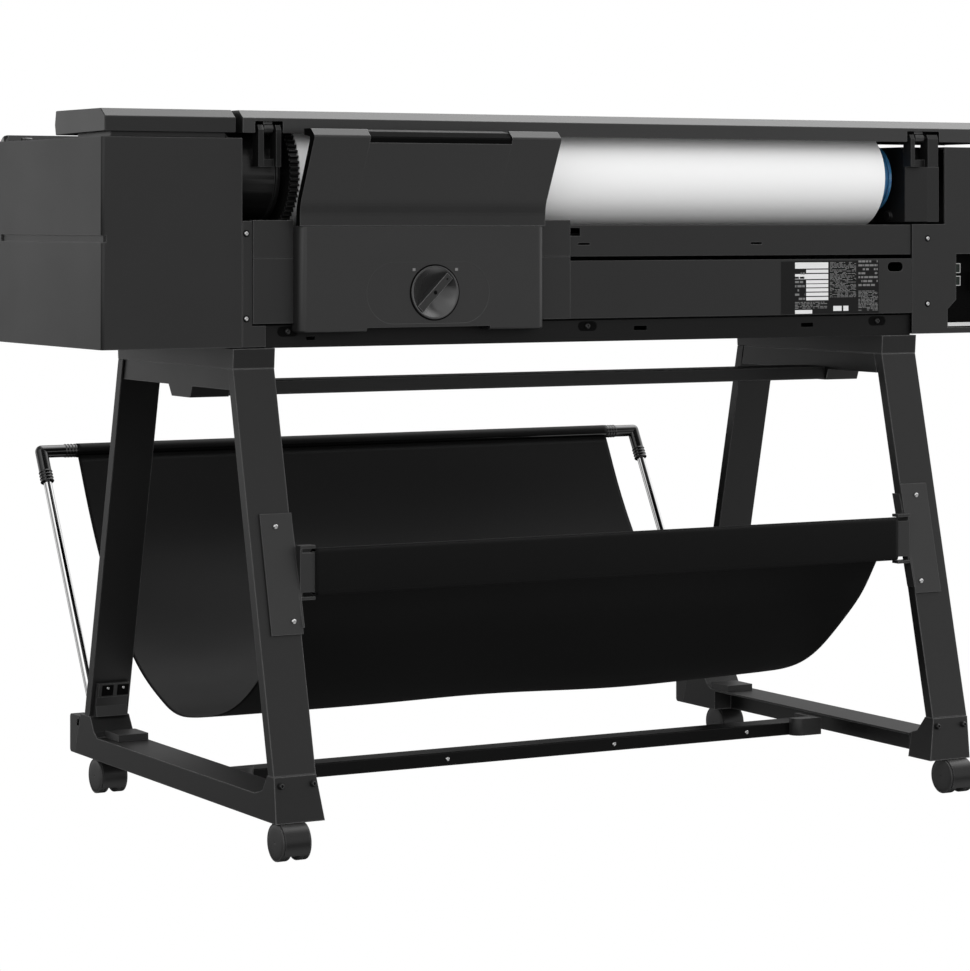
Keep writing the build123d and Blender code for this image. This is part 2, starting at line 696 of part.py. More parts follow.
def clothCurve():
    """Points down the hanging sling, from under the front rod to the top of the rear bar, with their normals."""
    points = [(rodY - 7, rodZ - 7.5), (628, 304), (503, 174), (397, 127), (300, 120.5), (213, 134), (128, 175.5),
              (35, 248), (-12.6, 308.5), (barY + 6, barTop - 2)]
    result = []
    for i, (y, z) in enumerate(points):
        before, after = points[max(i - 1, 0)], points[min(i + 1, len(points) - 1)]
        dy, dz = after[0] - before[0], after[1] - before[1]
        length = math.hypot(dy, dz)
        result.append((y, z, -dz / length, dy / length))
    return result


def binCloth():
    """Sling with a sleeve at each long edge; both ends are open."""
    curve = clothCurve()
    upper = [(y + ny * clothThick / 2, z + nz * clothThick / 2) for y, z, ny, nz in curve]
    lower = [(y - ny * clothThick / 2, z - nz * clothThick / 2) for y, z, ny, nz in curve]
    edges = [Spline(*upper), Line(upper[-1], lower[-1]), Spline(*reversed(lower)), Line(lower[0], upper[0])]
    face = make_face(Plane.YZ * Curve(edges))
    sheet = Pos(-clothHalf, 0, 0) * extrude(face, amount=2 * clothHalf, dir=(1, 0, 0))
    x = (-clothHalf, clothHalf)
    hem = discX(frontRodRadius + looseGap + 3, x, rodY, rodZ)
    hem = hem - discX(frontRodRadius + looseGap, (x[0] - 1, x[1] + 1), rodY, rodZ)
    sleeve = block(x, (barY - 7, barY + 7), (barBottom - 0.5, barTop + 0.5))
    sleeve = sleeve - block((x[0] - 1, x[1] + 1), (barY - 4.4, barY + 4.4), (barBottom + 2.6, barTop - 2.6))
    return sheet + hem + sleeve


def binFrontRod():
    """Front rod and the two moulded elbows that turn down onto the chrome tubes."""
    rod = discX(frontRodRadius, (-tubeX + 9, tubeX - 9), rodY, rodZ)
    turn = math.degrees(math.atan2(rodY - pivotY, rodZ - pivotZ))
    arm = discX(9, (-tubeX - 0.5, -clothHalf - 1), rodY, rodZ)
    drop = Pos(-tubeX, rodY, rodZ) * Rot(-turn, 0, 0) * Pos(0, 0, -24) * Cylinder(9, 48)
    ball = Pos(-tubeX, rodY, rodZ) * Sphere(9)
    bore = Pos(-tubeX, rodY, rodZ) * Rot(-turn, 0, 0) * Pos(0, 0, -34) * Cylinder(tubeRadius, 40)
    elbow = arm + drop + ball - discX(frontRodRadius, (-tubeX + 9, 0), rodY, rodZ) - bore
    return [rod] + mirrored(elbow)


def binTubes():
    turn = math.degrees(math.atan2(rodY - pivotY, rodZ - pivotZ))
    length = math.hypot(rodY - pivotY, rodZ - pivotZ)
    tube = Cylinder(tubeRadius, length - 8)
    tube = Pos(-tubeX, pivotY, pivotZ) * Rot(-turn, 0, 0) * Pos(0, 0, length / 2 - 10) * tube
    tube = tube - discX(pinRadius + runningGap, (-tubeX - 10, -tubeX + 10), pivotY, pivotZ)
    return mirrored(tube)


def screws():
    """Button-head screws: body covers, skirt, bin plates, feet and lower crossbar."""
    heads = [discY(3, x, (-1.4, 0), z) for x, z in ((-511.5, 769), (-511.5, 662), (547, 760), (547, 668))]
    heads += [discY(4, x, (3.4, 5), 645) for x in (-451.5, -9, 463)]
    lean = math.degrees(math.atan2(rearLegTop - rearLegBottom, legTopZ - legBottomZ))
    for x, z in ((-493, 404), (-481, 288)):
        head = Pos(x, legY(z) - 4.2, z) * Rot(90 - lean, 0, 0) * Cylinder(3.5, 2)
        heads += mirrored(head)
    for x in (-520, -476):
        heads += mirrored(discY(3, x, (footRear + 2.9, footRear + 4.45), 93))
    heads += [discY(3.2, x, (164.6, 166), 57) for x in (-133, 131, 352)]
    return heads


def main():
    os.makedirs("parts", exist_ok=True)
    fixed = {
        "base_frame": baseFrame, "left_housing": leftHousing, "right_housing": rightHousing,
        "rear_trim_covers": rearTrimCovers, "short_top_cover": shortTopCover, "roll_lid": rollLid,
        "lid_hinges": lidHinges, "rear_upper_panel": rearUpperPanel, "rear_lower_panel": rearLowerPanel,
        "rear_skirt": rearSkirt, "feeder_box": feederBox, "feeder_flap": feederFlap, "feeder_knob": feederKnob,
        "left_spindle_holder": leftSpindleHolder, "right_spindle_holder": rightSpindleHolder,
        "spindle_rod": spindleRod, "paper_roll": paperRoll, "blue_hub": blueHub, "geared_hub": gearedHub,
        "spindle_pinion": spindlePinion, "drive_motors": driveMotors, "roll_bay_liner": rollBayLiner,
        "platen": platen, "drive_roller": driveRoller, "pinch_rollers": pinchRollers,
        "carriage_rail": carriageRail, "carriage": carriage, "carriage_belt": carriageBelt,
        "motor_pulley": lambda: pulley(pulleyX), "idler_pulley": lambda: pulley(-pulleyX),
        "top_deck": topDeck, "front_window": frontWindow, "front_fascia": frontFascia,
        "front_panel": frontPanel, "ink_door": inkDoor, "ink_cartridges": inkCartridges,
        "control_panel": controlPanel,
        "power_button": powerButton, "electronics": electronics, "power_inlet": powerInlet,
        "power_switch": powerSwitch, "screws": screws, "stand_legs": standLegs, "top_brackets": topBrackets,
        "crossbars": crossbars, "feet": feet, "foot_caps": footCaps, "bin_brackets": binBrackets,
        "bin_rear_bar": binRearBar, "bin_cloth": binCloth, "bin_front_rod": binFrontRod, "bin_tubes": binTubes,
    }
    for name, build in fixed.items():
        save(build(), name)
    corners = {"rear_left": (-stemX, rearWheelY), "rear_right": (stemX, rearWheelY),
               "front_left": (-stemX, frontWheelY), "front_right": (stemX, frontWheelY)}
    for corner, (x, y) in corners.items():
        save(casterHood(x, y), f"caster_hood_{corner}")
        save(casterWheels(x, y), f"caster_wheels_{corner}")


main()
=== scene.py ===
import math
import bmesh
import bpy
import numpy as np
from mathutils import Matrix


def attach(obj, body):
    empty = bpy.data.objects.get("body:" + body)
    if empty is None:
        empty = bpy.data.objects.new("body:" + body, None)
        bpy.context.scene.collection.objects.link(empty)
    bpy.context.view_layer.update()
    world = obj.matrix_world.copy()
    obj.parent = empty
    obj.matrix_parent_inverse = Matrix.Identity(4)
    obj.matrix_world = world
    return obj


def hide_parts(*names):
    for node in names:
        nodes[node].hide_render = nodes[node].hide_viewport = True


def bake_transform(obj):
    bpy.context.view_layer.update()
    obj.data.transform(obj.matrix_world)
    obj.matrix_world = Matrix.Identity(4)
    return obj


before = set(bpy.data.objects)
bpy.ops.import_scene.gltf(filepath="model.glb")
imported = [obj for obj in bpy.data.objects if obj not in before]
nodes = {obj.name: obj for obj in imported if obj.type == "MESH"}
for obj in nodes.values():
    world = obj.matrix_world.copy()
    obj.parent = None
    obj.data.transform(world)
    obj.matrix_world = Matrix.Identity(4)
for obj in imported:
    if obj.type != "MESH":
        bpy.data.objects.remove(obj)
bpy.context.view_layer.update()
scene = bpy.context.scene
scene.view_settings.view_transform = "Standard"
print("frame loaded,", len(nodes), "parts")

originY = -0.29445       # the body's rear face is at y = originY


# ---- mesh tools ----

def newPiece(name, points, quads, body, finish, smooth=True):
    # Points as an (n, 3) array and quads as an (m, 4) array; a repeated corner makes a triangle.
    mesh = bpy.data.meshes.new(name)
    mesh.from_pydata(points.reshape(-1, 3).tolist(), [], [list(dict.fromkeys(q)) for q in quads.tolist()])
    mesh.update()
    mesh.polygons.foreach_set("use_smooth", np.full(len(mesh.polygons), smooth))
    piece = bpy.data.objects.new(name, mesh)
    scene.collection.objects.link(piece)
    piece.data.materials.append(finish)
    if body:
        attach(piece, body)
    return piece


def gridQuads(rows, cols, wrapRows=False, wrapCols=False):
    # Corner numbers of a rows x cols grid; a wrapped side joins its last line to its first.
    r = np.arange(rows if wrapRows else rows - 1)[:, None]
    c = np.arange(cols if wrapCols else cols - 1)[None, :]
    r2, c2 = (r + 1) % rows, (c + 1) % cols
    corners = [r * cols + c, r * cols + c2, r2 * cols + c2, r2 * cols + c]
    return np.stack(np.broadcast_arrays(*corners), -1).reshape(-1, 4)


def turned(profile, steps):
    # Profile rows (height, radius) turned once about X: point = (height, radius cos a, radius sin a).
    profile = np.asarray(profile, float)
    a = np.linspace(0, 2 * np.pi, steps, endpoint=False)[:, None]
    h, r = profile[:, 0][None, :], profile[:, 1][None, :]
    grid = np.stack([np.broadcast_to(h, (steps, len(profile))), r * np.cos(a), r * np.sin(a)], -1)
    return grid, gridQuads(steps, len(profile), wrapRows=True)


def rounded(corners, radius, steps=4):
    # Open outline whose inner corners become short arcs: quadratic curve from one side to the next.
    corners = np.asarray(corners, float)
    radii = np.broadcast_to(radius, len(corners) - 2)
    line = [corners[0]]
    for before, here, after, bend in zip(corners[:-2], corners[1:-1], corners[2:], radii):
        a, b = before - here, after - here
        reach = min(bend, np.linalg.norm(a) / 2, np.linalg.norm(b) / 2)
        start, end = here + a / np.linalg.norm(a) * reach, here + b / np.linalg.norm(b) * reach
        t = np.linspace(0, 1, steps)[:, None]
        line.extend((1 - t) ** 2 * start + 2 * t * (1 - t) * here + t ** 2 * end)
    line.append(corners[-1])
    return np.array(line)


def gathered(parts):
    # Several (points, quads) pairs as one, with the corner numbers moved along.
    points, quads, count = [], [], 0
    for p, q in parts:
        p = np.asarray(p, float).reshape(-1, 3)
        points.append(p)
        quads.append(q + count)
        count += len(p)
    return np.concatenate(points), np.concatenate(quads)


def slab(low, high):
    # Closed box between two corners.
    x, y, z = zip(low, high)
    p = np.array([(x[i], y[j], z[k]) for i in (0, 1) for j in (0, 1) for k in (0, 1)], float)
    q = np.array([(0, 1, 3, 2), (4, 6, 7, 5), (0, 4, 5, 1), (2, 3, 7, 6), (0, 2, 6, 4), (1, 5, 7, 3)])
    return p, q


def prism(outline, x1, x2):
    # Convex (y, z) outline in millimetres carried from x1 to x2 and closed by a fan at each end.
    outline = np.asarray(outline, float)
    n = len(outline)
    rows = [np.column_stack([np.full(n, x), outline]) for x in (x1, x2)]
    points = np.concatenate(rows) / 1000 + np.array([0, originY, 0])
    around = gridQuads(2, n, wrapCols=True)
    fan = np.array([(0, i, i + 1, i + 1) for i in range(1, n - 1)])
    return points, np.concatenate([around, fan, fan + n])


def sweptShell(sections):
    # Rows of (x, outer, inner): a wall between two (y, z) outlines of equal length, closed at both ends.
    rows = [np.column_stack([np.full(2 * len(outer), x), np.concatenate([outer, inner[::-1]])])
            for x, outer, inner in sections]
    points = np.stack(rows) / 1000 + np.array([0, originY, 0])
    n = points.shape[1]
    i = np.arange(n // 2 - 1)
    cap = np.stack([i, i + 1, n - 2 - i, n - 1 - i], -1)
    return points.reshape(-1, 3), np.concatenate([gridQuads(len(rows), n, wrapCols=True), cap,
                                                  cap + (len(rows) - 1) * n])


def facedOut(piece):
    # Turns every face outwards.
    work = bmesh.new()
    work.from_mesh(piece.data)
    bmesh.ops.recalc_face_normals(work, faces=work.faces)
    work.to_mesh(piece.data)
    work.free()
    return piece


def hardPiece(name, shape, body, look):
    # A flat-shaded piece of one (points, quads) pair, with its faces turned outwards.
    return facedOut(newPiece(name, *shape, body, finishes[look], smooth=False))


def moved(part, by, turn=0.0):
    # Turned about X by an angle in radians, then moved.
    points, quads = part
    c, s = math.cos(turn), math.sin(turn)
    matrix = np.array([(1, 0, 0), (0, c, s), (0, -s, c)])
    return np.asarray(points).reshape(-1, 3) @ matrix + np.array(by), quads


def crisp(piece, width, steps=2):
    # Small rounded edge on a block-like piece.
    bevel = piece.modifiers.new("edge", "BEVEL")
    bevel.width, bevel.segments = width, steps
    bevel.limit_method, bevel.angle_limit = "ANGLE", math.radians(35)
    return piece


# ---- shader tools ----

def newGroup(name, inputs, outputs):
    group = bpy.data.node_groups.new(name, "ShaderNodeTree")
    for label, value in inputs.items():
        socket = group.interface.new_socket(label, in_out="INPUT", socket_type="NodeSocketFloat")
        socket.default_value = value
    for label in outputs:
        group.interface.new_socket(label, in_out="OUTPUT", socket_type="NodeSocketFloat")
    return group, group.nodes.new("NodeGroupInput"), group.nodes.new("NodeGroupOutput")


def node(tree, kind, wires=None, **settings):
    # One node with its settings; wires maps an input to a value or to another node's output.
    made = tree.nodes.new(kind)
    for key, value in settings.items():
        setattr(made, key, value)
    for key, value in (wires or {}).items():
        if isinstance(value, bpy.types.NodeSocket):
            tree.links.new(value, made.inputs[key])
        else:
            made.inputs[key].default_value = value
    return made


def sums(tree, operation, *values):
    wires = dict(enumerate(values))
    return node(tree, "ShaderNodeMath", wires, operation=operation).outputs[0]


def blendTint(tree, amount, first, second):
    mix = node(tree, "ShaderNodeMix", data_type="RGBA")
    for index, value in ((0, amount), (6, first), (7, second)):
        if isinstance(value, bpy.types.NodeSocket):
            tree.links.new(value, mix.inputs[index])
        else:
            mix.inputs[index].default_value = value
    return mix.outputs[2]


def makeGrain():
    # Height: fine pebbled mould texture. Tone: slow cloudiness from 0 to 1.
    group, given, out = newGroup("mouldGrain", {"Size": 900.0}, ["Height", "Tone"])
    place = node(group, "ShaderNodeTexCoord").outputs["Object"]
    fine = node(group, "ShaderNodeTexNoise", {"Vector": place, "Scale": given.outputs[0], "Detail": 3.0})
    pebble = node(group, "ShaderNodeTexVoronoi", {"Vector": place, "Scale": given.outputs[0]})
    height = sums(group, "ADD", fine.outputs[0], sums(group, "MULTIPLY", pebble.outputs["Distance"], 0.5))
    cloud = node(group, "ShaderNodeTexNoise", {"Vector": place, "Scale": 7.0, "Detail": 5.0, "Roughness": 0.6})
    group.links.new(height, out.inputs["Height"])
    group.links.new(cloud.outputs[0], out.inputs["Tone"])
    return group


def makeEdgeHighlight():
    # Mask for a painted edge highlight: 1 where the surface turns sharply within the given radius, broken up by
    # noise.
    group, given, out = newGroup("edgeHighlight", {"Radius": 0.001, "Broken": 0.4}, ["Mask"])
    soft = node(group, "ShaderNodeBevel", {"Radius": given.outputs[0]}, samples=3)
    plain = node(group, "ShaderNodeNewGeometry")
    dot = node(group, "ShaderNodeVectorMath", operation="DOT_PRODUCT")
    group.links.new(soft.outputs[0], dot.inputs[0])
    group.links.new(plain.outputs["Normal"], dot.inputs[1])
    turn = sums(group, "MULTIPLY", sums(group, "SUBTRACT", 1.0, dot.outputs["Value"]), 5.0)
    place = node(group, "ShaderNodeTexCoord").outputs["Object"]
    noise = node(group, "ShaderNodeTexNoise", {"Vector": place, "Scale": 60.0, "Detail": 3.0})
    rough = sums(group, "SUBTRACT", 1.0, sums(group, "MULTIPLY", noise.outputs[0], given.outputs[1]))
    mask = node(group, "ShaderNodeClamp", {0: sums(group, "MULTIPLY", turn, rough)})
    group.links.new(mask.outputs[0], out.inputs["Mask"])
    return group


def makeDust():
    # Mask: patchy where the surface faces up, none where it faces down or sideways.
    group, given, out = newGroup("settledDust", {"Patch": 14.0}, ["Mask"])
    geometry = node(group, "ShaderNodeNewGeometry")
    up = node(group, "ShaderNodeSeparateXYZ", {0: geometry.outputs["Normal"]}).outputs[2]
    place = node(group, "ShaderNodeTexCoord").outputs["Object"]
    patch = node(group, "ShaderNodeTexNoise", {"Vector": place, "Scale": given.outputs[0], "Detail": 6.0})
    facing = node(group, "ShaderNodeMapRange", {0: up, 1: 0.3, 2: 1.0, 3: 0.0, 4: 1.0}).outputs[0]
    group.links.new(sums(group, "MULTIPLY", facing, patch.outputs[0]), out.inputs["Mask"])
    return group


def makeLines():
    # Height and Tone: long thin lines along X, as on drawn or brushed metal.
    group, given, out = newGroup("drawnLines", {"Density": 1500.0, "Along": 6.0}, ["Height", "Tone"])
    place = node(group, "ShaderNodeTexCoord").outputs["Object"]
    parts = node(group, "ShaderNodeSeparateXYZ", {0: place})
    stretched = node(group, "ShaderNodeCombineXYZ", {
        0: sums(group, "MULTIPLY", parts.outputs[0], given.outputs[1]),
        1: sums(group, "MULTIPLY", parts.outputs[1], given.outputs[0]),
        2: sums(group, "MULTIPLY", parts.outputs[2], given.outputs[0])})
    lines = node(group, "ShaderNodeTexNoise", {"Vector": stretched.outputs[0], "Scale": 1.0, "Detail": 2.0})
    cloud = node(group, "ShaderNodeTexNoise", {"Vector": place, "Scale": 25.0, "Detail": 4.0})
    group.links.new(lines.outputs[0], out.inputs["Height"])
    group.links.new(cloud.outputs[0], out.inputs["Tone"])
    return group


def makeWeave():
    # Height and Tone: over-and-under threads on the piece's own UV, which is in metres.
    group, given, out = newGroup("plainWeave", {"Threads": 900.0}, ["Height", "Tone"])
    uv = node(group, "ShaderNodeTexCoord").outputs["UV"]
    parts = node(group, "ShaderNodeSeparateXYZ", {0: uv})
    turn = sums(group, "MULTIPLY", given.outputs[0], math.pi)
    warp = sums(group, "SINE", sums(group, "MULTIPLY", parts.outputs[0], turn))
    weft = sums(group, "SINE", sums(group, "MULTIPLY", parts.outputs[1], turn))
    cross = sums(group, "MULTIPLY", warp, weft)
    cloud = node(group, "ShaderNodeTexNoise", {"Vector": uv, "Scale": 9.0, "Detail": 6.0, "Roughness": 0.65})
    group.links.new(sums(group, "ADD", sums(group, "MULTIPLY", cross, 0.5), 0.5), out.inputs["Height"])
    group.links.new(cloud.outputs[0], out.inputs["Tone"])
    return group


groups = {"grain": makeGrain(), "edge": makeEdgeHighlight(), "dust": makeDust(), "lines": makeLines(),
          "weave": makeWeave()}
print("shader groups made")


def placed(tree, name, wires=None):
    made = tree.nodes.new("ShaderNodeGroup")
    made.node_tree = groups[name]
    for key, value in (wires or {}).items():
        made.inputs[key].default_value = value
    return made


def shade(grey, warm=0.0):
    return (grey * (1 + warm), grey, grey * (1 - warm), 1.0)


def finish(name, look):
    # Base colour varies with Tone, takes a painted highlight colour at edges and lightens under dust.
    # Roughness follows Tone; bump comes from Height.
    material = bpy.data.materials.new(name)
    material.use_nodes = True
    tree = material.node_tree
    shader = tree.nodes["Principled BSDF"]
    colour = look["colour"]
    if look.get("lines"):
        pattern = placed(tree, "lines", {"Density": look["lines"]})
    elif look.get("weave"):
        pattern = placed(tree, "weave", {"Threads": look["weave"]})
    else:
        pattern = placed(tree, "grain", {"Size": look.get("grain", 900.0)})
    height, tone = pattern.outputs["Height"], pattern.outputs["Tone"]
    vary = look.get("vary", 0.12)
    dark = tuple(c * (1 - vary) for c in colour[:3]) + (1.0,)
    light = tuple(min(1.0, c * (1 + vary)) for c in colour[:3]) + (1.0,)
    base = blendTint(tree, tone, dark, light)
    # Painted highlight: edges blend towards the lighter edge colour, standing in for light caught by rounded edges.
    if look.get("edge", 0) > 0:
        mask = placed(tree, "edge", {"Radius": look.get("edgeRadius", 0.0012)}).outputs["Mask"]
        amount = sums(tree, "MULTIPLY", mask, look["edge"])
        base = blendTint(tree, amount, base, look.get("edgeColour", shade(0.22)))
    if look.get("dust", 0) > 0:
        mask = placed(tree, "dust").outputs["Mask"]
        base = blendTint(tree, sums(tree, "MULTIPLY", mask, look["dust"]), base, shade(0.32, 0.03))
    tree.links.new(base, shader.inputs["Base Color"])
    spread = look.get("spread", 0.1)
    rough = sums(tree, "ADD", sums(tree, "MULTIPLY", tone, spread), look["rough"] - spread / 2)
    tree.links.new(rough, shader.inputs["Roughness"])
    plain = {"Metallic": ("metal", 0.0), "IOR": ("ior", 1.48), "Specular IOR Level": ("shine", 0.25),
             "Coat Weight": ("coat", 0.0), "Coat Roughness": ("coatRough", 0.1), "Sheen Weight": ("sheen", 0.0),
             "Transmission Weight": ("clear", 0.0), "Subsurface Weight": ("milky", 0.0)}
    for socket, (key, usual) in plain.items():
        shader.inputs[socket].default_value = look.get(key, usual)
    shader.inputs["Sheen Roughness"].default_value = 0.45
    shader.inputs["Subsurface Scale"].default_value = 0.01
    if look.get("depth", 0) > 0:
        bump = node(tree, "ShaderNodeBump", {"Strength": look.get("bump", 0.25), "Distance": look["depth"],
                                             "Height": height})
        tree.links.new(bump.outputs[0], shader.inputs["Normal"])
    return material


# In each finish, edge, edgeRadius and the edge colour set a painted edge highlight; deepBlack is black for the
# dial's dots and painted shade in gaps, slots, windows and recesses.
finishes = {
    "housing": dict(colour=shade(0.0125), rough=0.44, grain=1100.0, depth=0.00012, edge=0.9, edgeRadius=0.0018,
                    edgeColour=shade(0.09), dust=0.03),
    "lid": dict(colour=shade(0.0065), rough=0.36, grain=1100.0, depth=0.0001, edge=0.5, dust=0.03, shine=0.5),
    "cover": dict(colour=shade(0.005), rough=0.36, grain=1100.0, depth=0.0001, edge=0.5, dust=0.03, shine=0.32),
    "feeder": dict(colour=shade(0.0155), rough=0.38, grain=1200.0, depth=0.0001, edge=0.2, dust=0.03, shine=0.32),
    "flap": dict(colour=shade(0.012), rough=0.36, grain=1200.0, depth=0.0001, edge=0.7, dust=0.04, shine=0.3),
    "knob": dict(colour=shade(0.020), rough=0.32, grain=1500.0, depth=0.00005, edge=1.0, edgeRadius=0.0007,
                 edgeColour=shade(0.6)),
    "panel": dict(colour=shade(0.0110), rough=0.44, grain=1700.0, depth=0.0001, edge=0.9, edgeRadius=0.0016,
                  edgeColour=shade(0.08), dust=0.03),
    "skirt": dict(colour=shade(0.0025), rough=0.5, grain=1500.0, depth=0.0001, edge=0.1, shine=0.15),
    "deepBlack": dict(colour=shade(0.0012), rough=0.7, grain=1500.0, depth=0.00003, shine=0.05),
    "dial": dict(colour=shade(0.022), rough=0.24, grain=1500.0, depth=0.00003, shine=0.6),
    "ledge": dict(colour=shade(0.55), rough=0.4, lines=1200.0, depth=0.00002, metal=0.3, edge=0.2),
    # Painted shade: a much darker copy of the stand's finish for the lower crossbar, standing in for the shade it
    # sits in under the bin.
    "lowerBarShaded": dict(colour=shade(0.0022), rough=0.36, grain=1700.0, depth=0.0001, edge=0.5, shine=0.1),
    "shoe": dict(colour=shade(0.020), rough=0.4, grain=1700.0, depth=0.0001, edge=0.4, dust=0.03),
    "blackPlastic": dict(colour=shade(0.007), rough=0.34, grain=1300.0, depth=0.00006, edge=0.3, dust=0.02),
    "steel": dict(colour=shade(0.50), rough=0.34, lines=1800.0, depth=0.00004, metal=1.0, edge=0.2,
                  edgeColour=shade(0.8), shine=0.5),
    "darkSteel": dict(colour=shade(0.03), rough=0.4, lines=1500.0, depth=0.00004, metal=0.4, edge=0.2),
    "paper": dict(colour=shade(0.86), rough=0.75, grain=2500.0, depth=0.00003, vary=0.015),
    "blue": dict(colour=(0.035, 0.16, 0.33, 1.0), rough=0.16, grain=400.0, depth=0.00003, coat=0.3, milky=0.35,
                 edge=0.4, edgeColour=(0.25, 0.45, 0.62, 1.0), ior=1.5, shine=0.5),
    "platen": dict(colour=shade(0.012), rough=0.5, grain=1000.0, depth=0.0001, edge=0.4, dust=0.05),
    "rubber": dict(colour=shade(0.016), rough=0.75, grain=1600.0, depth=0.00015, edge=0.15, dust=0.05),
    "front": dict(colour=shade(0.017), rough=0.42, grain=1100.0, depth=0.00012, edge=0.4, dust=0.03),
    "window": dict(colour=(0.10, 0.10, 0.11, 1.0), rough=0.05, grain=200.0, vary=0.05, spread=0.02, clear=0.85,
                   ior=1.45, shine=0.5),
    "cartridge": dict(colour=shade(0.04), rough=0.3, grain=1200.0, depth=0.00005, edge=0.4),
    "glossBlack": dict(colour=shade(0.004), rough=0.12, grain=300.0, depth=0.00002, coat=0.3, edge=0.2,
                       spread=0.05, shine=0.4),
    "button": dict(colour=shade(0.08), rough=0.3, grain=1500.0, depth=0.00004, edge=0.4),
    "board": dict(colour=(0.003, 0.008, 0.005, 1.0), rough=0.4, grain=350.0, depth=0.0002, edge=0.3, vary=0.35),
    "screw": dict(colour=shade(0.42), rough=0.28, lines=900.0, depth=0.00002, metal=1.0, edge=0.3,
                  edgeColour=shade(0.9), shine=0.5),
    "stand": dict(colour=shade(0.0100), rough=0.4, grain=1900.0, depth=0.00012, edge=1.0, edgeRadius=0.0022,
                  edgeColour=shade(0.15), dust=0.03, shine=0.22),
    "bracket": dict(colour=shade(0.018), rough=0.42, grain=1700.0, depth=0.0001, edge=0.4, dust=0.02),
    "fabric": dict(colour=shade(0.0018), rough=0.55, weave=900.0, depth=0.0002, sheen=0.025, vary=0.25,
                   shine=0.08),
    "chrome": dict(colour=shade(0.55), rough=0.06, lines=700.0, depth=0.00001, metal=1.0, spread=0.05,
                   shine=0.5),
    "caster": dict(colour=shade(0.008), rough=0.33, grain=1200.0, depth=0.00006, edge=0.3, dust=0.04),
    "tread": dict(colour=shade(0.030), rough=0.42, grain=1400.0, depth=0.0001, edge=0.3, dust=0.05),
    "labelWhite": dict(colour=shade(0.70), rough=0.5, grain=1800.0, depth=0.00002, vary=0.04),
    "labelGrey": dict(colour=shade(0.16), rough=0.5, grain=1800.0, depth=0.00002, vary=0.1),
}
finishes = {name: finish(name, look) for name, look in finishes.items()}
print(len(finishes), "finishes made")

partFinish = {
    "housing": ["left_housing", "right_housing", "rear_trim_covers"],
    "lid": ["roll_lid"], "cover": ["short_top_cover"], "feeder": ["feeder_box"], "flap": ["feeder_flap"],
    "knob": ["feeder_knob"],
    "panel": ["rear_upper_panel", "rear_lower_panel"], "skirt": ["rear_skirt"],
    "blackPlastic": ["lid_hinges", "left_spindle_holder", "right_spindle_holder", "geared_hub", "spindle_pinion",
                     "carriage", "motor_pulley", "idler_pulley", "power_inlet", "power_switch"],
    "steel": ["spindle_rod", "carriage_rail"],
    "darkSteel": ["base_frame", "roll_bay_liner", "drive_motors"],
    "paper": ["paper_roll"], "blue": ["blue_hub"], "platen": ["platen"],
    "rubber": ["drive_roller", "pinch_rollers", "carriage_belt"],
    "front": ["top_deck", "front_fascia", "front_panel", "ink_door"], "window": ["front_window"],
    "cartridge": ["ink_cartridges"], "glossBlack": ["control_panel", "bin_front_rod"],
    "button": ["power_button"], "board": ["electronics"], "shoe": ["foot_caps"], "screw": ["screws"],
    "stand": ["stand_legs", "top_brackets", "crossbars", "feet"],
    "bracket": ["bin_brackets", "bin_rear_bar"], "fabric": ["bin_cloth"], "chrome": ["bin_tubes"],
    "caster": [n for n in nodes if n.startswith("caster_hood")],
    "tread": [n for n in nodes if n.startswith("caster_wheels")],
}

edgeWidths = {
    "left_housing": 0.0012, "right_housing": 0.0012, "short_top_cover": 0.0012,
    "rear_trim_covers": 0.0006, "rear_upper_panel": 0.0006, "rear_lower_panel": 0.0006,
    "feeder_box": 0.0008, "lid_hinges": 0.0008, "right_spindle_holder": 0.001, "rear_skirt": 0.0005,
    "stand_legs": 0.0015, "top_brackets": 0.0015, "crossbars": 0.001, "feet": 0.0015, "foot_caps": 0.0012,
    "bin_brackets": 0.0007, "front_fascia": 0.001, "ink_door": 0.0006,
    "control_panel": 0.0012, "top_deck": 0.0006, "carriage": 0.001, "ink_cartridges": 0.001,
    "left_spindle_holder": 0.0008,
}


def dressParts():
    for name, parts in partFinish.items():
        for part in parts:
            data = nodes[part].data
            data.materials.clear()
            data.materials.append(finishes[name])
    for part, width in edgeWidths.items():
        piece = nodes[part]
        weld = piece.modifiers.new("weld", "WELD")
        weld.merge_threshold = 0.00001
        flat = piece.modifiers.new("flat", "DECIMATE")
        flat.decimate_type, flat.angle_limit = "DISSOLVE", math.radians(1)
        crisp(piece, width)
        piece.modifiers[-1].harden_normals = True


dressParts()
print("parts dressed")


# ---- bin cloth ----

binSling = {
    "halfWidth": 0.447, "thick": 0.0011, "columns": 180,
    "rod": (0.713, 0.452), "rodLoop": 0.0096,            # front rod's middle and the radius of the loop round it
    "bar": (-0.060, 0.318, 0.375), "barHalf": 0.0066,    # rear bar's y, its lowest and highest, half its depth
    "hang": [(0.628, 0.304), (0.503, 0.174), (0.397, 0.127), (0.300, 0.1205), (0.213, 0.134), (0.128, 0.1755),
             (0.035, 0.248), (-0.0126, 0.3085)],
    "wave": 0.004, "endWave": 0.006,
}


def smoothCurve(points, count):
    # Catmull-Rom curve through the points: each span is a cubic of its four neighbours; evenly spaced result.
    p = np.asarray(points, float)
    p = np.concatenate([2 * p[:1] - p[1:2], p, 2 * p[-1:] - p[-2:-1]])
    t = np.linspace(0, 1, 40, endpoint=False)[:, None]
    spans = [0.5 * (2 * b + (c - a) * t + (2 * a - 5 * b + 4 * c - d) * t ** 2 + (3 * b - a - 3 * c + d) * t ** 3)
             for a, b, c, d in zip(p[:-3], p[1:-2], p[2:-1], p[3:])]
    line = np.concatenate(spans + [p[-2:-1]])
    length = np.concatenate([[0], np.cumsum(np.linalg.norm(np.diff(line, axis=0), axis=1))])
    even = np.linspace(0, length[-1], count)
    return np.stack([np.interp(even, length, line[:, k]) for k in range(line.shape[1])], -1)


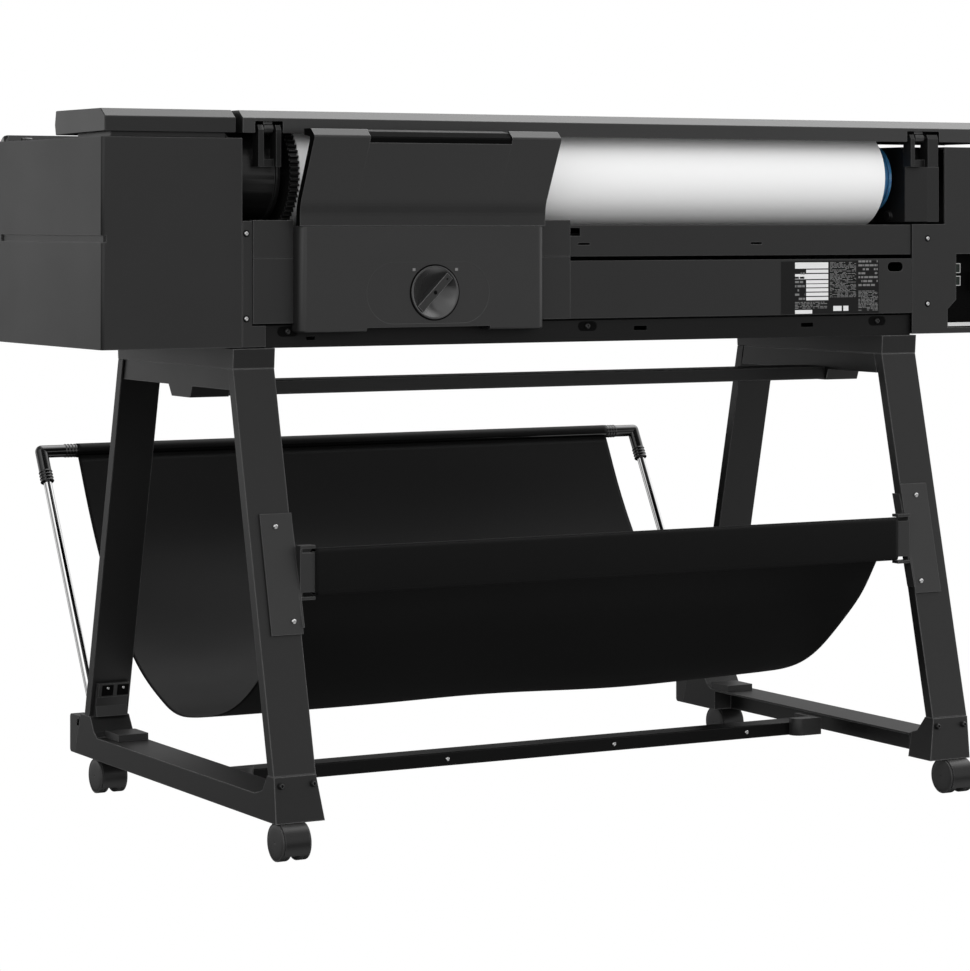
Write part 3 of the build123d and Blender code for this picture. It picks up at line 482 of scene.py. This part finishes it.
def slingProfile(look):
    # Loop round the rear bar, then the hanging curve, then the loop round the front rod, as (y, z).
    barY, low, high = look["bar"]
    half = look["barHalf"]
    loop = [(barY + half, high - 0.006), (barY + half, low - 0.0005), (barY - half, low - 0.0005),
            (barY - half, high + 0.0005), (barY + half * 0.6, high + 0.0007), (barY + half + 0.002, high - 0.003)]
    loop = rounded(loop, 0.006, 6)
    rodY, rodZ = look["rod"]
    angles = np.radians(np.linspace(-128, 195, 30))
    ring = np.stack([rodY + look["rodLoop"] * np.cos(angles), rodZ + look["rodLoop"] * np.sin(angles)], -1)
    hang = [(barY + half + 0.002, high - 0.003)] + list(reversed(look["hang"])) + [tuple(ring[0])]
    curve = smoothCurve(hang, 90)
    return loop, curve, ring


def buildSling(look):
    # Point = profile point at v, moved to x at u; ripples are sums of sines that vanish at both loops.
    loop, curve, ring = slingProfile(look)
    line = np.concatenate([loop[:-1], curve, ring[1:]])
    along = np.concatenate([[0], np.cumsum(np.linalg.norm(np.diff(line, axis=0), axis=1))])
    x = np.linspace(-look["halfWidth"], look["halfWidth"], look["columns"])
    inside = np.zeros(len(line))
    share = np.linspace(0, 1, len(curve))
    inside[len(loop) - 1:len(loop) - 1 + len(curve)] = np.sin(np.pi * share) ** 0.7
    tangent = np.gradient(line, axis=0)
    tangent /= np.linalg.norm(tangent, axis=1)[:, None] + 1e-9
    normal = np.stack([-tangent[:, 1], tangent[:, 0]], -1)
    u, v = x[:, None], along[None, :]
    ripple = np.sin(u * 9.0 + v * 5.0) * 0.5 + np.sin(u * 17.0 - v * 11.0 + 1.3) * 0.22
    ripple = ripple + np.sin(v * 38.0 + np.sin(u * 6.0) * 1.4) * 0.12
    nearEnd = np.exp(-(look["halfWidth"] - np.abs(u)) / 0.05)
    push = (ripple * look["wave"] + nearEnd * np.sin(v * 26.0 + 0.6) * look["endWave"] * 0.4) * inside[None, :]
    y = line[None, :, 0] + push * normal[None, :, 0]
    z = line[None, :, 1] + push * normal[None, :, 1]
    points = np.stack([np.broadcast_to(u, y.shape), y + originY, z], -1)
    piece = newPiece("binSling", points, gridQuads(len(x), len(line)), None, finishes["fabric"])
    layer = piece.data.uv_layers.new(name="UVMap")
    corner = np.zeros(len(piece.data.loops), np.int32)
    piece.data.loops.foreach_get("vertex_index", corner)
    flat = np.stack([np.broadcast_to(u, y.shape), np.broadcast_to(v, y.shape)], -1).reshape(-1, 2)
    layer.data.foreach_set("uv", flat[corner].astype(np.float32).ravel())
    wall = piece.modifiers.new("cloth", "SOLIDIFY")
    wall.thickness, wall.offset = look["thick"], 0.0
    print("bin cloth is", round(2 * look["halfWidth"], 3), "by", round(along[-1], 3), "m flat")
    return piece, along[-1]


sling, slingLength = buildSling(binSling)
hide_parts("bin_cloth")
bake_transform(sling)
print("bin cloth made")


# ---- casters ----

casterWheel = {
    "axleX": 0.506, "rearY": -0.112, "frontY": 0.456, "axleZ": 0.0235, "steps": 56,
    # (distance from the caster's middle, radius): bore, inner face, tread with a fine groove, domed cover
    "outline": [(5.0, 3.05), (5.0, 20.6), (5.6, 21.6), (6.6, 22.9), (7.6, 23.35), (11.6, 23.35), (11.9, 23.0),
                (12.4, 23.0), (12.7, 23.35), (18.4, 23.35), (19.1, 23.2), (19.4, 22.6), (19.3, 22.2), (18.9, 22.0),
                (18.95, 21.7), (19.3, 20.5), (19.6, 17.0), (19.8, 12.0), (19.88, 6.0), (19.9, 2.0), (19.9, 0.2),
                (18.0, 0.2), (18.0, 3.05)],
}


def buildWheels(look):
    # Each wheel is its closed outline turned about the axle.
    for corner, x, y in (("rear_left", -1, "rearY"), ("rear_right", 1, "rearY"),
                         ("front_left", -1, "frontY"), ("front_right", 1, "frontY")):
        parts = []
        for side in (-1, 1):
            grid, _ = turned(np.array(look["outline"]) / 1000, look["steps"])
            quads = gridQuads(look["steps"], len(look["outline"]), True, True)
            grid = grid * np.array([side, 1, 1])
            if side > 0:
                quads = quads[:, ::-1]
            centre = (x * look["axleX"], look[y] + originY, look["axleZ"])
            parts.append(moved((grid, quads), centre))
        points, quads = gathered(parts)
        piece = newPiece("wheelPair_" + corner, points, quads, "wheels_" + corner, finishes["tread"])
        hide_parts("caster_wheels_" + corner)


buildWheels(casterWheel)
print("caster wheels made")


# ---- lid over the roll ----

lidShell = {
    "outer": [(4.8, 895.7), (4.8, 914.7), (18.6, 924.5), (164.4, 924.5), (168, 907), (165, 895.7)],
    "inner": [(7.8, 895.7), (7.8, 913.2), (19.8, 921.5), (163, 921.5), (165, 907), (162, 895.7)],
    "end": [(6.3, 896.2), (6.3, 914), (19.2, 923), (163.7, 923), (166.5, 907), (163.5, 896.2)],
    "ends": (-514.0, 701.0), "notches": [(-497.0, -458.0), (515.0, 571.0)], "notchTop": 910.5,
    "knuckles": [(-484.0, -471.0), (530.0, 545.0)], "hinge": (11.5, 901.5), "knuckle": 6.5, "bore": 3.05,
}


def buildLid(look):
    # The rear wall's lower edge steps up over each hinge: the same outline with two lifted points.
    outer, inner = np.array(look["outer"]), np.array(look["inner"])
    outerUp, innerUp = outer.copy(), inner.copy()
    outerUp[0, 1] = innerUp[0, 1] = look["notchTop"]
    sections = [(look["ends"][0], outer, inner)]
    for start, end in look["notches"]:
        sections += [(start, outer, inner), (start, outerUp, innerUp),
                     (end, outerUp, innerUp), (end, outer, inner)]
    sections.append((look["ends"][1], outer, inner))
    left, right = look["ends"]
    parts = [sweptShell(sections), prism(look["end"], left + 0.06, left + 3),
             prism(look["end"], right - 3, right - 0.06)]
    y, z = look["hinge"]
    for x1, x2 in look["knuckles"]:
        bore, rim = look["bore"], look["knuckle"]
        ring = np.array([(x1, bore), (x1, rim), (x2, rim), (x2, bore)]) / 1000
        grid, _ = turned(ring, 40)
        parts.append(moved((grid, gridQuads(40, 4, True, True)), (0, y / 1000 + originY, z / 1000)))
        parts.append(prism([(y - 3, z + 5), (y - 3, 912.4), (y + 3, 912.4), (y + 3, z + 5)], x1, x2))
        parts.append(prism([(6.5, 910.6), (6.5, 913), (y + 3, 913), (y + 3, 910.6)], x1, x2))
    piece = hardPiece("lidShell", gathered(parts), "roll_lid", "lid")
    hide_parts("roll_lid")
    crisp(piece, 0.0009).modifiers[-1].harden_normals = True


buildLid(lidShell)
print("lid made")


# ---- sheet feeder ----

flapShell = {
    "outer": [(-19, 778.6), (-19.3, 804), (-61, 889.5), (-60, 892.5), (-50.5, 901), (-32, 901)],
    "slotted": [(-19, 778.6), (-19.3, 804), (-58.4, 884), (-52.6, 884.4), (-50.4, 898.8), (-32, 901)],
    "inner": [(-9, 778.6), (-9.3, 804), (-46, 882), (-48, 886), (-47, 891), (-32, 893)],
    "bends": (24, 1.2, 1.2, 1.2), "ends": (-446.0, -88.0), "slot": (-367.0, -161.0),
    "shade": [(-58.0, 884.5), (-59.4, 889.5), (-58.6, 891.8), (-52.4, 897.4), (-50.8, 897.4), (-50.8, 884.5)],
}


def buildFlap(look):
    # The outline bends gently above the parting line; the slot has its own outline between two steps.
    outer, slotted, inner = (rounded(look[k], look["bends"], 7) for k in ("outer", "slotted", "inner"))
    left, right = look["ends"]
    a, b = look["slot"]
    sections = [(left, outer, inner), (left + 0.6, outer, inner), (a, outer, inner), (a, slotted, inner),
                (b, slotted, inner), (b, outer, inner), (right - 0.6, outer, inner), (right, outer, inner)]
    piece = hardPiece("flapShell", sweptShell(sections), "feeder_flap", "flap")
    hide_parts("feeder_flap")
    crisp(piece, 0.0010, 3).modifiers[-1].harden_normals = True
    # Painted shade: a thin black sheet on the flap's left end stands in for the shade on that side.
    side = [(x, outer, inner) for x in (left - 0.25, left + 0.2)]
    piece = hardPiece("flapSideShade", sweptShell(side), "feeder_flap", "deepBlack")
    # Painted shade: a black bar inside the slot stands in for the shade in the groove.
    slotShade = prism(look["shade"], a + 0.4, b - 0.4)
    piece = hardPiece("flapSlotShade", slotShade, "feeder_flap", "deepBlack")


buildFlap(flapShell)

feederDial = {
    "x": -252.6, "z": 692.8, "face": -20.4, "radius": 34.5, "dish": 31.8, "deep": 13.0, "back": -0.5,
    "bar": (61.0, 11.0), "barTop": -20.9, "dot": 2.6, "tip": (24.5, 1.3),
}


def onDial(part, look, turn=0.0):
    # Lays a part built about X onto the dial: its X becomes depth; then it is turned about the dial's axis.
    points, quads = part
    points = np.asarray(points).reshape(-1, 3)
    c, s = math.cos(turn), math.sin(turn)
    across, up = points[:, 1] * c - points[:, 2] * s, points[:, 1] * s + points[:, 2] * c
    laid = np.stack([across + look["x"], points[:, 0], up + look["z"]], -1) / 1000
    return laid + np.array([0, originY, 0]), quads


def buildDial(look):
    # Dish: depth = deep (1 - (r / dish)^2); the finger bar is a closed box across it at 45 degrees.
    r = np.linspace(look["dish"], 0.4, 14)
    dish = np.stack([look["face"] + 0.4 + look["deep"] * (1 - (r / look["dish"]) ** 2), r], -1)
    rim = [(look["back"], 0.4), (look["back"], look["radius"]), (look["face"] + 0.6, look["radius"]),
           (look["face"] + 0.1, look["radius"] - 0.3), (look["face"], look["radius"] - 0.8),
           (look["face"], look["dish"] + 0.6)]
    profile = np.concatenate([rim, dish])
    grid, _ = turned(profile, 96)
    body = onDial((grid, gridQuads(96, len(profile), True, True)), look)
    dial = facedOut(newPiece("feederDial", *body, "feeder_knob", finishes["dial"]))
    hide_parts("feeder_knob")
    length, width = look["bar"]
    bar = slab((look["barTop"], -length / 2, -width / 2), (-6.5, length / 2, width / 2))
    piece = hardPiece("dialBar", onDial(bar, look, math.radians(45)), "feeder_knob", "knob")
    crisp(piece, 0.0005).modifiers[-1].harden_normals = True
    dots = []
    for distance, radius in ((0, look["dot"]), look["tip"]):
        disc, _ = turned([(look["barTop"] - 0.05, 0.05), (look["barTop"] - 0.05, radius),
                          (look["barTop"] + 0.5, radius), (look["barTop"] + 0.5, 0.05)], 32)
        disc = disc + np.array([0, distance, 0])
        dots.append(onDial((disc, gridQuads(32, 4, True, True)), look, math.radians(45)))
    piece = facedOut(newPiece("dialDots", *gathered(dots), "feeder_knob", finishes["deepBlack"]))
    # Painted shadow: a black ring in the gap round the dial stands in for the shade in that gap.
    ring, _ = turned([(-19.08, 34.95), (-19.08, 36.3), (-18.6, 36.3), (-18.6, 34.95)], 96)
    ring = onDial((ring, gridQuads(96, 4, True, True)), look)
    piece = hardPiece("dialGapShade", ring, "plotter_body", "deepBlack")


buildDial(feederDial)
print("feeder flap and dial made")


# ---- crossbars ----

crossBars = {
    # name: half length, y and z ranges in millimetres, finish
    "upperBar": (470.3, (141, 198), (558, 576.5), "stand"),
    "lowerBarShaded": (459.0, (166, 202), (47.5, 66), "lowerBarShaded"),
}


def buildCrossBars(table):
    for name, (half, y, z, look) in table.items():
        outline = [(y[0], z[0]), (y[0], z[1]), (y[1], z[1]), (y[1], z[0])]
        piece = hardPiece(name, prism(outline, -half, half), "plotter_body", look)
        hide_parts("crossbars")
        crisp(piece, 0.0015).modifiers[-1].harden_normals = True


buildCrossBars(crossBars)


# ---- deck lip, recess and shoe windows ----

smallParts = {
    # name: finish, record slot, boxes as (x1, x2, y1, y2, z1, z2) in millimetres
    "deckLip": ("front", "front_plastic", [(519.2, 574.0, 174.0, 178.0, 888.6, 894.6)]),
    # Painted shade: black sheets on the recess's back wall stand in for the shade inside the recess.
    "recessShade": ("deepBlack", "housing_plastic", [(597.3, 689.7, 27.2, 27.8, 661.2, 737.7),
                                                      (582.3, 689.7, 27.2, 27.8, 634.3, 661.1)]),
    "recessLedge": ("ledge", "screw_steel", [(583.0, 689.5, 1.0, 27.0, 634.1, 636.0),
                                             (583.0, 689.5, 1.0, 2.2, 634.1, 641.0)]),
    "socketFrames": ("ledge", "screw_steel", [(600.2, 617.8, 17.2, 18.6, z, z + 1.0) for z in
                                              (692.6, 705.4, 710.6, 723.4)]
                     + [(x, x + 1.0, 17.2, 18.6, z, z + 12.4) for x in (600.2, 616.8) for z in (693.3, 711.3)]),
}


def buildSmallParts(table):
    for name, (look, slot, boxes) in table.items():
        parts = [slab((a / 1000, c / 1000 + originY, e / 1000), (b / 1000, d / 1000 + originY, f / 1000))
                 for a, b, c, d, e, f in boxes]
        piece = hardPiece(name, gathered(parts), "plotter_body", look)
        crisp(piece, 0.0002)


buildSmallParts(smallParts)

shoeWindows = {"y": 0.4580, "z": 0.1405, "lean": 0.234, "x": (-0.5070, -0.4845), "size": (0.0165, 0.0150),
               "frame": (-0.5205, -0.4745, 0.0200), "screw": 0.0021}


def buildShoeWindows(look):
    # A thin frame on each front leg with two black squares of painted shade on it, standing in for the shade in the
    # windows, each with a small bright screw head.
    frames, squares, heads = [], [], []
    left, right, high = look["frame"]
    w, h = look["size"]
    for side in (1, -1):
        def placedAt(part):
            points, quads = moved(part, (0, look["y"] + originY, look["z"]), look["lean"])
            return points * np.array([side, 1, 1]), quads
        frames.append(placedAt(slab((left, -0.0030, -high / 2), (right, 0.0, high / 2))))
        for x in look["x"]:
            squares.append(placedAt(slab((x - w / 2, -0.0036, -h / 2), (x + w / 2, -0.0031, h / 2))))
            head = screwHead(look["screw"], buttonScrew)
            heads.append(placedAt((head[0] + np.array([x, -0.0036, h * 0.22]), head[1])))
    for name, parts, surface in (("shoeFrames", frames, "shoe"), ("shoeWindowShade", squares, "deepBlack"),
                                 ("shoeScrews", heads, "screw")):
        piece = hardPiece(name, gathered(parts), "plotter_body", surface)


# ---- screws ----

buttonScrew = {
    # each head: x, y and z of its seat, its radius, the lean of the surface it sits on, whether it is black
    "places": [(-0.5115, 0.0, 0.769, 0.003, 0, 0), (-0.5115, 0.0, 0.662, 0.003, 0, 0),
               (0.547, 0.0, 0.760, 0.003, 0, 0), (0.547, 0.0, 0.668, 0.003, 0, 0),
               (-0.4515, 0.005, 0.645, 0.004, 0, 1), (-0.009, 0.005, 0.645, 0.004, 0, 1),
               (0.463, 0.005, 0.645, 0.004, 0, 1),
               (-0.133, 0.166, 0.057, 0.0032, 0, 0), (0.131, 0.166, 0.057, 0.0032, 0, 0),
               (0.352, 0.166, 0.057, 0.0032, 0, 0)],
    "plate": [(0.493, 0.404), (0.481, 0.288)], "foot": [0.520, 0.476],
    "dome": 0.62, "socket": 0.46, "deep": 0.75, "steps": 36,
}


def screwHead(radius, look):
    # Rings from rim to socket floor; a socket ring's radius is r / cos(a mod 60 - 30), which draws a hexagon.
    a = np.linspace(0, 2 * np.pi, look["steps"], endpoint=False)
    hexagon = math.cos(math.pi / 6) / np.cos((a % (math.pi / 3)) - math.pi / 6)
    round1 = np.ones_like(a)
    h = radius * look["dome"]
    s = radius * look["socket"]
    rings = [(0.0, radius * 0.96, round1), (h * 0.25, radius, round1), (h * 0.55, radius * 0.93, round1),
             (h * 0.85, radius * 0.74, round1), (h, radius * 0.55, round1), (h, s * 1.08, hexagon),
             (h * 0.93, s, hexagon), (h * (1 - look["deep"]), s * 0.97, hexagon),
             (h * (1 - look["deep"]) * 0.9, s * 0.05, round1)]
    grid = np.stack([np.stack([r * shape * np.cos(a), np.full_like(a, -up), r * shape * np.sin(a)], -1)
                     for up, r, shape in rings], 1)
    return grid, gridQuads(look["steps"], len(rings), wrapRows=True)


buildShoeWindows(shoeWindows)


def buildScrews(look):
    bright, black = [], []
    for x, y, z, radius, lean, dark in look["places"]:
        (black if dark else bright).append(moved(screwHead(radius, look), (x, y + originY, z), lean))
    slope = math.atan2(0.118, 0.495)
    for x, z in look["plate"]:
        y = 0.004 - 0.118 * (0.599 - z) / 0.495 - 0.0031
        for side in (-1, 1):
            bright.append(moved(screwHead(0.0036, look), (side * x, y + originY, z), slope))
    for x in look["foot"]:
        for side in (-1, 1):
            head = screwHead(0.0042, look)
            seat = (side * x, -0.1166 + originY, 0.093)
            black.append(moved((head[0] * np.array([1, 2.0, 1]), head[1]), seat, -0.1))
    # Painted shadow: black rings round the four panel screws and black ovals round the three skirt screws stand in
    # for the shade in their recesses and slots.
    rings = []
    for x, y, z, radius, lean, dark in look["places"][:4]:
        wide = radius * 1.5
        ring, _ = turned([(-0.00012, 0.0001), (-0.00012, wide), (0.0002, wide), (0.0002, 0.0001)], 32)
        ring = np.stack([ring[..., 1], ring[..., 0], ring[..., 2]], -1)
        rings.append((ring + np.array([x, y + originY, z]), gridQuads(32, 4, True, True)))
    for x, y, z, radius, lean, dark in look["places"][4:7]:
        a = np.linspace(0, 2 * np.pi, 40, endpoint=False)
        across = x * 1000 + 8 * np.sign(np.cos(a)) + 6.5 * np.cos(a)
        oval = np.stack([across, z * 1000 + 6.5 * np.sin(a)], -1) / 1000
        rows = [np.column_stack([oval[:, 0], np.full(40, y + originY + depth), oval[:, 1]])
                for depth in (-0.0002, 0.0004)]
        fan = np.array([(0, i, i + 1, i + 1) for i in range(1, 39)])
        rings.append((np.concatenate(rows), np.concatenate([gridQuads(2, 40, wrapCols=True), fan, fan + 40])))
    shadowPads = hardPiece("screwShadows", gathered(rings), "plotter_body", "deepBlack")
    points, quads = gathered(bright)
    heads = newPiece("screwHeads", points, quads, "plotter_body", finishes["screw"])
    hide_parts("screws")
    points, quads = gathered(black)
    heads = newPiece("darkScrewHeads", points, quads, "plotter_body", finishes["blackPlastic"])


buildScrews(buttonScrew)
print("screws made")


# ---- elbows of the bin's front rod ----

elbow = {
    "x": 0.501, "at": (0.713, 0.452), "towards": (0.508, 0.084), "radius": 0.0089,
    "armRings": [0.4500, 0.4548, 0.4596, 0.4644], "dropRings": [0.0330, 0.0378, 0.0426, 0.0474], "ring": 0.0011,
}


def halfRound(width, radius, height, steps=5):
    # Outline of one rib: radius plus height times sin(pi t) across its width.
    t = np.linspace(0, 1, steps)
    return np.stack([(t - 0.5) * width, radius + height * np.sin(np.pi * t)], -1)


def buildElbowRibs(look):
    for side, label in ((-1, "left"), (1, "right")):
        parts = []
        for x in look["armRings"]:
            ring, quads = turned(halfRound(0.0030, look["radius"], look["ring"]), 40)
            parts.append(((ring + np.array((side * x, look["at"][0] + originY, look["at"][1]))), quads))
        y, z = look["towards"][0] - look["at"][0], look["towards"][1] - look["at"][1]
        lean = math.atan2(y, z)
        for distance in look["dropRings"]:
            ring, quads = turned(halfRound(0.0030, look["radius"], look["ring"]), 40)
            ring = np.stack([ring[..., 1], ring[..., 2], ring[..., 0]], -1)
            c, s = math.cos(lean), math.sin(lean)
            ring = ring @ np.array([(1, 0, 0), (0, c, -s), (0, s, c)])
            length = math.hypot(y, z)
            centre = (side * look["x"], look["at"][0] + y / length * distance + originY,
                      look["at"][1] + z / length * distance)
            parts.append((ring + np.array(centre), quads))
        points, quads = gathered(parts)
        ribs = newPiece("elbowRibs_" + label, points, quads, "bin_frame", finishes["glossBlack"])


buildElbowRibs(elbow)
print("elbow ribs made")


# ---- rear label and dial marks ----

rearLabel = {
    "face": -0.0010, "plate": (0.297, 0.4620, 0.6562, 0.7292), "thin": 0.00015, "print": 0.00008,
    "fields": [(0.3205, 0.3760, 0.7190, 0.7275), (0.3390, 0.3760, 0.7130, 0.7175), (0.3205, 0.3760, 0.7045, 0.7115),
               (0.3390, 0.3760, 0.6985, 0.7030), (0.3390, 0.3760, 0.6930, 0.6975), (0.3390, 0.3760, 0.6872, 0.6917),
               (0.3390, 0.3760, 0.6812, 0.6858), (0.3390, 0.3760, 0.6752, 0.6798), (0.3205, 0.3490, 0.6568, 0.6620),
               (0.3845, 0.3985, 0.6600, 0.6670), (0.4015, 0.4100, 0.6600, 0.6670)],
    # dashes: left, right, low, high and the step between rows
    "columns": [(0.3790, 0.4230, 0.6790, 0.7270, 0.0017), (0.4270, 0.4600, 0.6600, 0.6880, 0.0019),
                (0.4270, 0.4600, 0.6940, 0.7270, 0.0055), (0.3205, 0.3370, 0.6760, 0.7160, 0.0058),
                (0.3205, 0.3740, 0.6640, 0.6730, 0.0020)],
    "seed": 11,
}


def buildLabel(look):
    # A thin plate, raised fields, and rows of short dashes of random length, all closed thin slabs.
    rng = np.random.default_rng(look["seed"])
    y = look["face"] + originY
    x1, x2, z1, z2 = look["plate"]
    plate = newPiece("labelPlate", *slab((x1, y - look["thin"], z1), (x2, y, z2)), "plotter_body",
                     finishes["skirt"], smooth=False)
    front = y - look["thin"]
    fields = [slab((a, front - look["print"], c), (b, front, d)) for a, b, c, d in look["fields"]]
    piece = newPiece("labelFields", *gathered(fields), "plotter_body", finishes["labelWhite"], smooth=False)
    dashes = []
    for left, right, low, high, step in look["columns"]:
        for z in np.arange(low, high, step):
            x = left
            while x < right:
                end = min(right, x + rng.uniform(0.0015, 0.0075))
                if rng.random() < 0.74:
                    dashes.append(slab((x, front - look["print"], z), (end, front, z + step * 0.5)))
                x = end + rng.uniform(0.0008, 0.002)
    piece = newPiece("labelDashes", *gathered(dashes), "plotter_body", finishes["labelGrey"], smooth=False)


buildLabel(rearLabel)

dialMarks = {"face": -0.019, "marks": [(-0.2831, 0.7224), (-0.2209, 0.7223)], "size": (0.0042, 0.0036)}


def buildDialMarks(look):
    # Two small pads beside the dial, each a closed slab.
    w, h = look["size"]
    y = look["face"] + originY
    pads = [slab((x - w / 2, y - 0.0003, z - h / 2), (x + w / 2, y, z + h / 2)) for x, z in look["marks"]]
    marks = newPiece("dialMarks", *gathered(pads), "plotter_body", finishes["labelGrey"], smooth=False)


buildDialMarks(dialMarks)
print("label and marks made")


# ---- belt ----

belt = {"half": 0.486, "radius": 0.0084, "thick": 0.0010, "tooth": 0.0007, "pitch": 0.0030, "y": (0.237, 0.243),
        "z": 0.838}


def buildBelt(look):
    # Closed path: two straight runs and two half circles; the inner side steps in and out once each pitch.
    straight, arc = 2 * look["half"], math.pi * look["radius"]
    teeth = int(2 * (straight + arc) / look["pitch"])
    s = np.linspace(0, 2 * (straight + arc), teeth * 4, endpoint=False)
    lower = s >= straight + arc
    t = np.where(lower, s - straight - arc, s)
    a = np.clip((t - straight) / look["radius"], 0, None)
    sign = np.where(lower, -1.0, 1.0)
    nx, nz = sign * np.sin(a), sign * np.cos(a)
    x0 = sign * (np.minimum(t, straight) - look["half"])
    tooth = (np.arange(len(s)) % 4 < 2) * look["tooth"]
    inner, outer = look["radius"] + 0.0003 - tooth * (a == 0), np.full(len(s), look["radius"] + look["thick"])
    y1, y2 = look["y"]
    rows = [np.stack([x0 + nx * r, np.full(len(s), y + originY), look["z"] + nz * r], -1)
            for r, y in ((inner, y1), (outer, y1), (outer, y2), (inner, y2))]
    quads = gridQuads(len(s), 4, True, True)
    piece = newPiece("toothedBelt", np.stack(rows, 1), quads, "plotter_body", finishes["rubber"], smooth=False)
    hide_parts("carriage_belt")


buildBelt(belt)
print("belt made")


# ---- control panel screen ----

panelScreen = {"x": -0.628, "size": (0.104, 0.066), "rise": 0.0005, "icons": 6}


def buildScreen(look):
    # Glass plate lying on the panel's slope, with a grid of small plain tiles on it.
    turn = math.atan2(0.835 - 0.889, 0.440 - 0.350)
    down, out = 0.052, 0.0145
    dy, dz = 0.090, -0.054
    length = math.hypot(dy, dz)
    centre = np.array((look["x"], 0.350 + (dy * down - dz * out) / length + originY,
                       0.889 + (dz * down + dy * out) / length))
    w, h = look["size"]

    def laid(low, high):
        points, quads = slab(low, high)
        c, s = math.cos(turn), math.sin(turn)
        return points @ np.array([(1, 0, 0), (0, c, s), (0, -s, c)]) + centre, quads
    glass = newPiece("screenGlass", *laid((-w / 2, -h / 2, 0), (w / 2, h / 2, look["rise"])), "control_panel",
                     finishes["glossBlack"], smooth=False)
    tiles = []
    for i in range(look["icons"]):
        x, y = (i % 3 - 1) * w * 0.29, (0.5 - i // 3) * h * 0.42
        low, high = look["rise"], look["rise"] + 0.0001
        tiles.append(laid((x - 0.010, y - 0.008, low), (x + 0.010, y + 0.008, high)))
    tile = newPiece("screenTiles", *gathered(tiles), "control_panel", finishes["button"], smooth=False)


buildScreen(panelScreen)
print("screen made")


# ---- light and camera ----

studio = {
    "base": 0.36, "below": 0.04, "fall": (-0.20, -0.02),
    # direction, width in degrees where it fades out, strength; negative ones are dark flags for the chrome
    "cards": [((-0.49, 0.87, 0.05), 34, 0.95), ((-0.85, -0.50, 0.12), 50, 1.1), ((0.48, 0.16, 0.86), 40, 4.2),
              ((0.86, 0.50, 0.02), 26, 0.8), ((0.95, -0.30, 0.0), 50, 1.7), ((-0.52, -0.85, 0.05), 24, -1.6),
              ((-0.97, 0.25, 0.0), 14, -1.6)],
    "under": ((0.49, -0.50, -0.70), 38, 1.2),      # card that lights surfaces leaning towards the floor
    "suns": [(1.75, 90, (66, 0, -18))],             # strength, softness in degrees, turn
}


def buildStudio(look):
    # White to the camera, otherwise a dim room; each card adds strength * smoothstep(angle from it).
    world = bpy.data.worlds.new("studio")
    scene.world = world
    world.use_nodes = True
    tree = world.node_tree
    tree.nodes.clear()
    place = node(tree, "ShaderNodeTexCoord").outputs["Generated"]

    def card(direction, width, strength):
        length = math.sqrt(sum(c * c for c in direction))
        dot = node(tree, "ShaderNodeVectorMath", operation="DOT_PRODUCT")
        tree.links.new(place, dot.inputs[0])
        dot.inputs[1].default_value = [c / length for c in direction]
        ranges = {0: dot.outputs["Value"], 1: math.cos(math.radians(width)), 2: 1.0, 3: 0.0, 4: strength}
        return node(tree, "ShaderNodeMapRange", ranges, interpolation_type="SMOOTHSTEP").outputs[0]
    total = look["base"]
    for item in look["cards"]:
        total = sums(tree, "ADD", card(*item), total)
    height = node(tree, "ShaderNodeSeparateXYZ", {0: place}).outputs[2]
    low, high = look["fall"]
    fall = node(tree, "ShaderNodeMapRange", {0: height, 1: low, 2: high, 3: look["below"], 4: 1.0},
                interpolation_type="SMOOTHSTEP").outputs[0]
    total = sums(tree, "MULTIPLY", sums(tree, "MAXIMUM", total, 0.02), fall)
    total = sums(tree, "ADD", total, card(*look["under"]))
    seen = node(tree, "ShaderNodeLightPath").outputs["Is Camera Ray"]
    strength = node(tree, "ShaderNodeMix", {0: seen, 2: total, 3: 1.0}).outputs[0]
    sky = node(tree, "ShaderNodeBackground", {0: (1, 1, 1, 1), 1: strength})
    out = node(tree, "ShaderNodeOutputWorld")
    tree.links.new(sky.outputs[0], out.inputs[0])

    for number, (strength, soft, turn) in enumerate(look["suns"]):
        light = bpy.data.lights.new("softSun%d" % number, "SUN")
        light.energy, light.angle = strength, math.radians(soft)
        lamp = bpy.data.objects.new(light.name, light)
        lamp.rotation_euler = [math.radians(a) for a in turn]
        scene.collection.objects.link(lamp)


buildStudio(studio)

cameraLook = {"at": (-2.3196, -4.1301, 0.7873), "turn": (90, 0, -29.291), "lens": 124.94, "shift": -0.2744}


def buildCamera(look):
    data = bpy.data.cameras.new("camera")
    data.lens, data.sensor_width, data.shift_y = look["lens"], 36.0, look["shift"]
    data.clip_start, data.clip_end = 0.1, 200.0
    camera = bpy.data.objects.new("camera", data)
    camera.location = look["at"]
    camera.rotation_euler = [math.radians(a) for a in look["turn"]]
    scene.collection.objects.link(camera)
    scene.camera = camera


buildCamera(cameraLook)
print("studio and camera made")
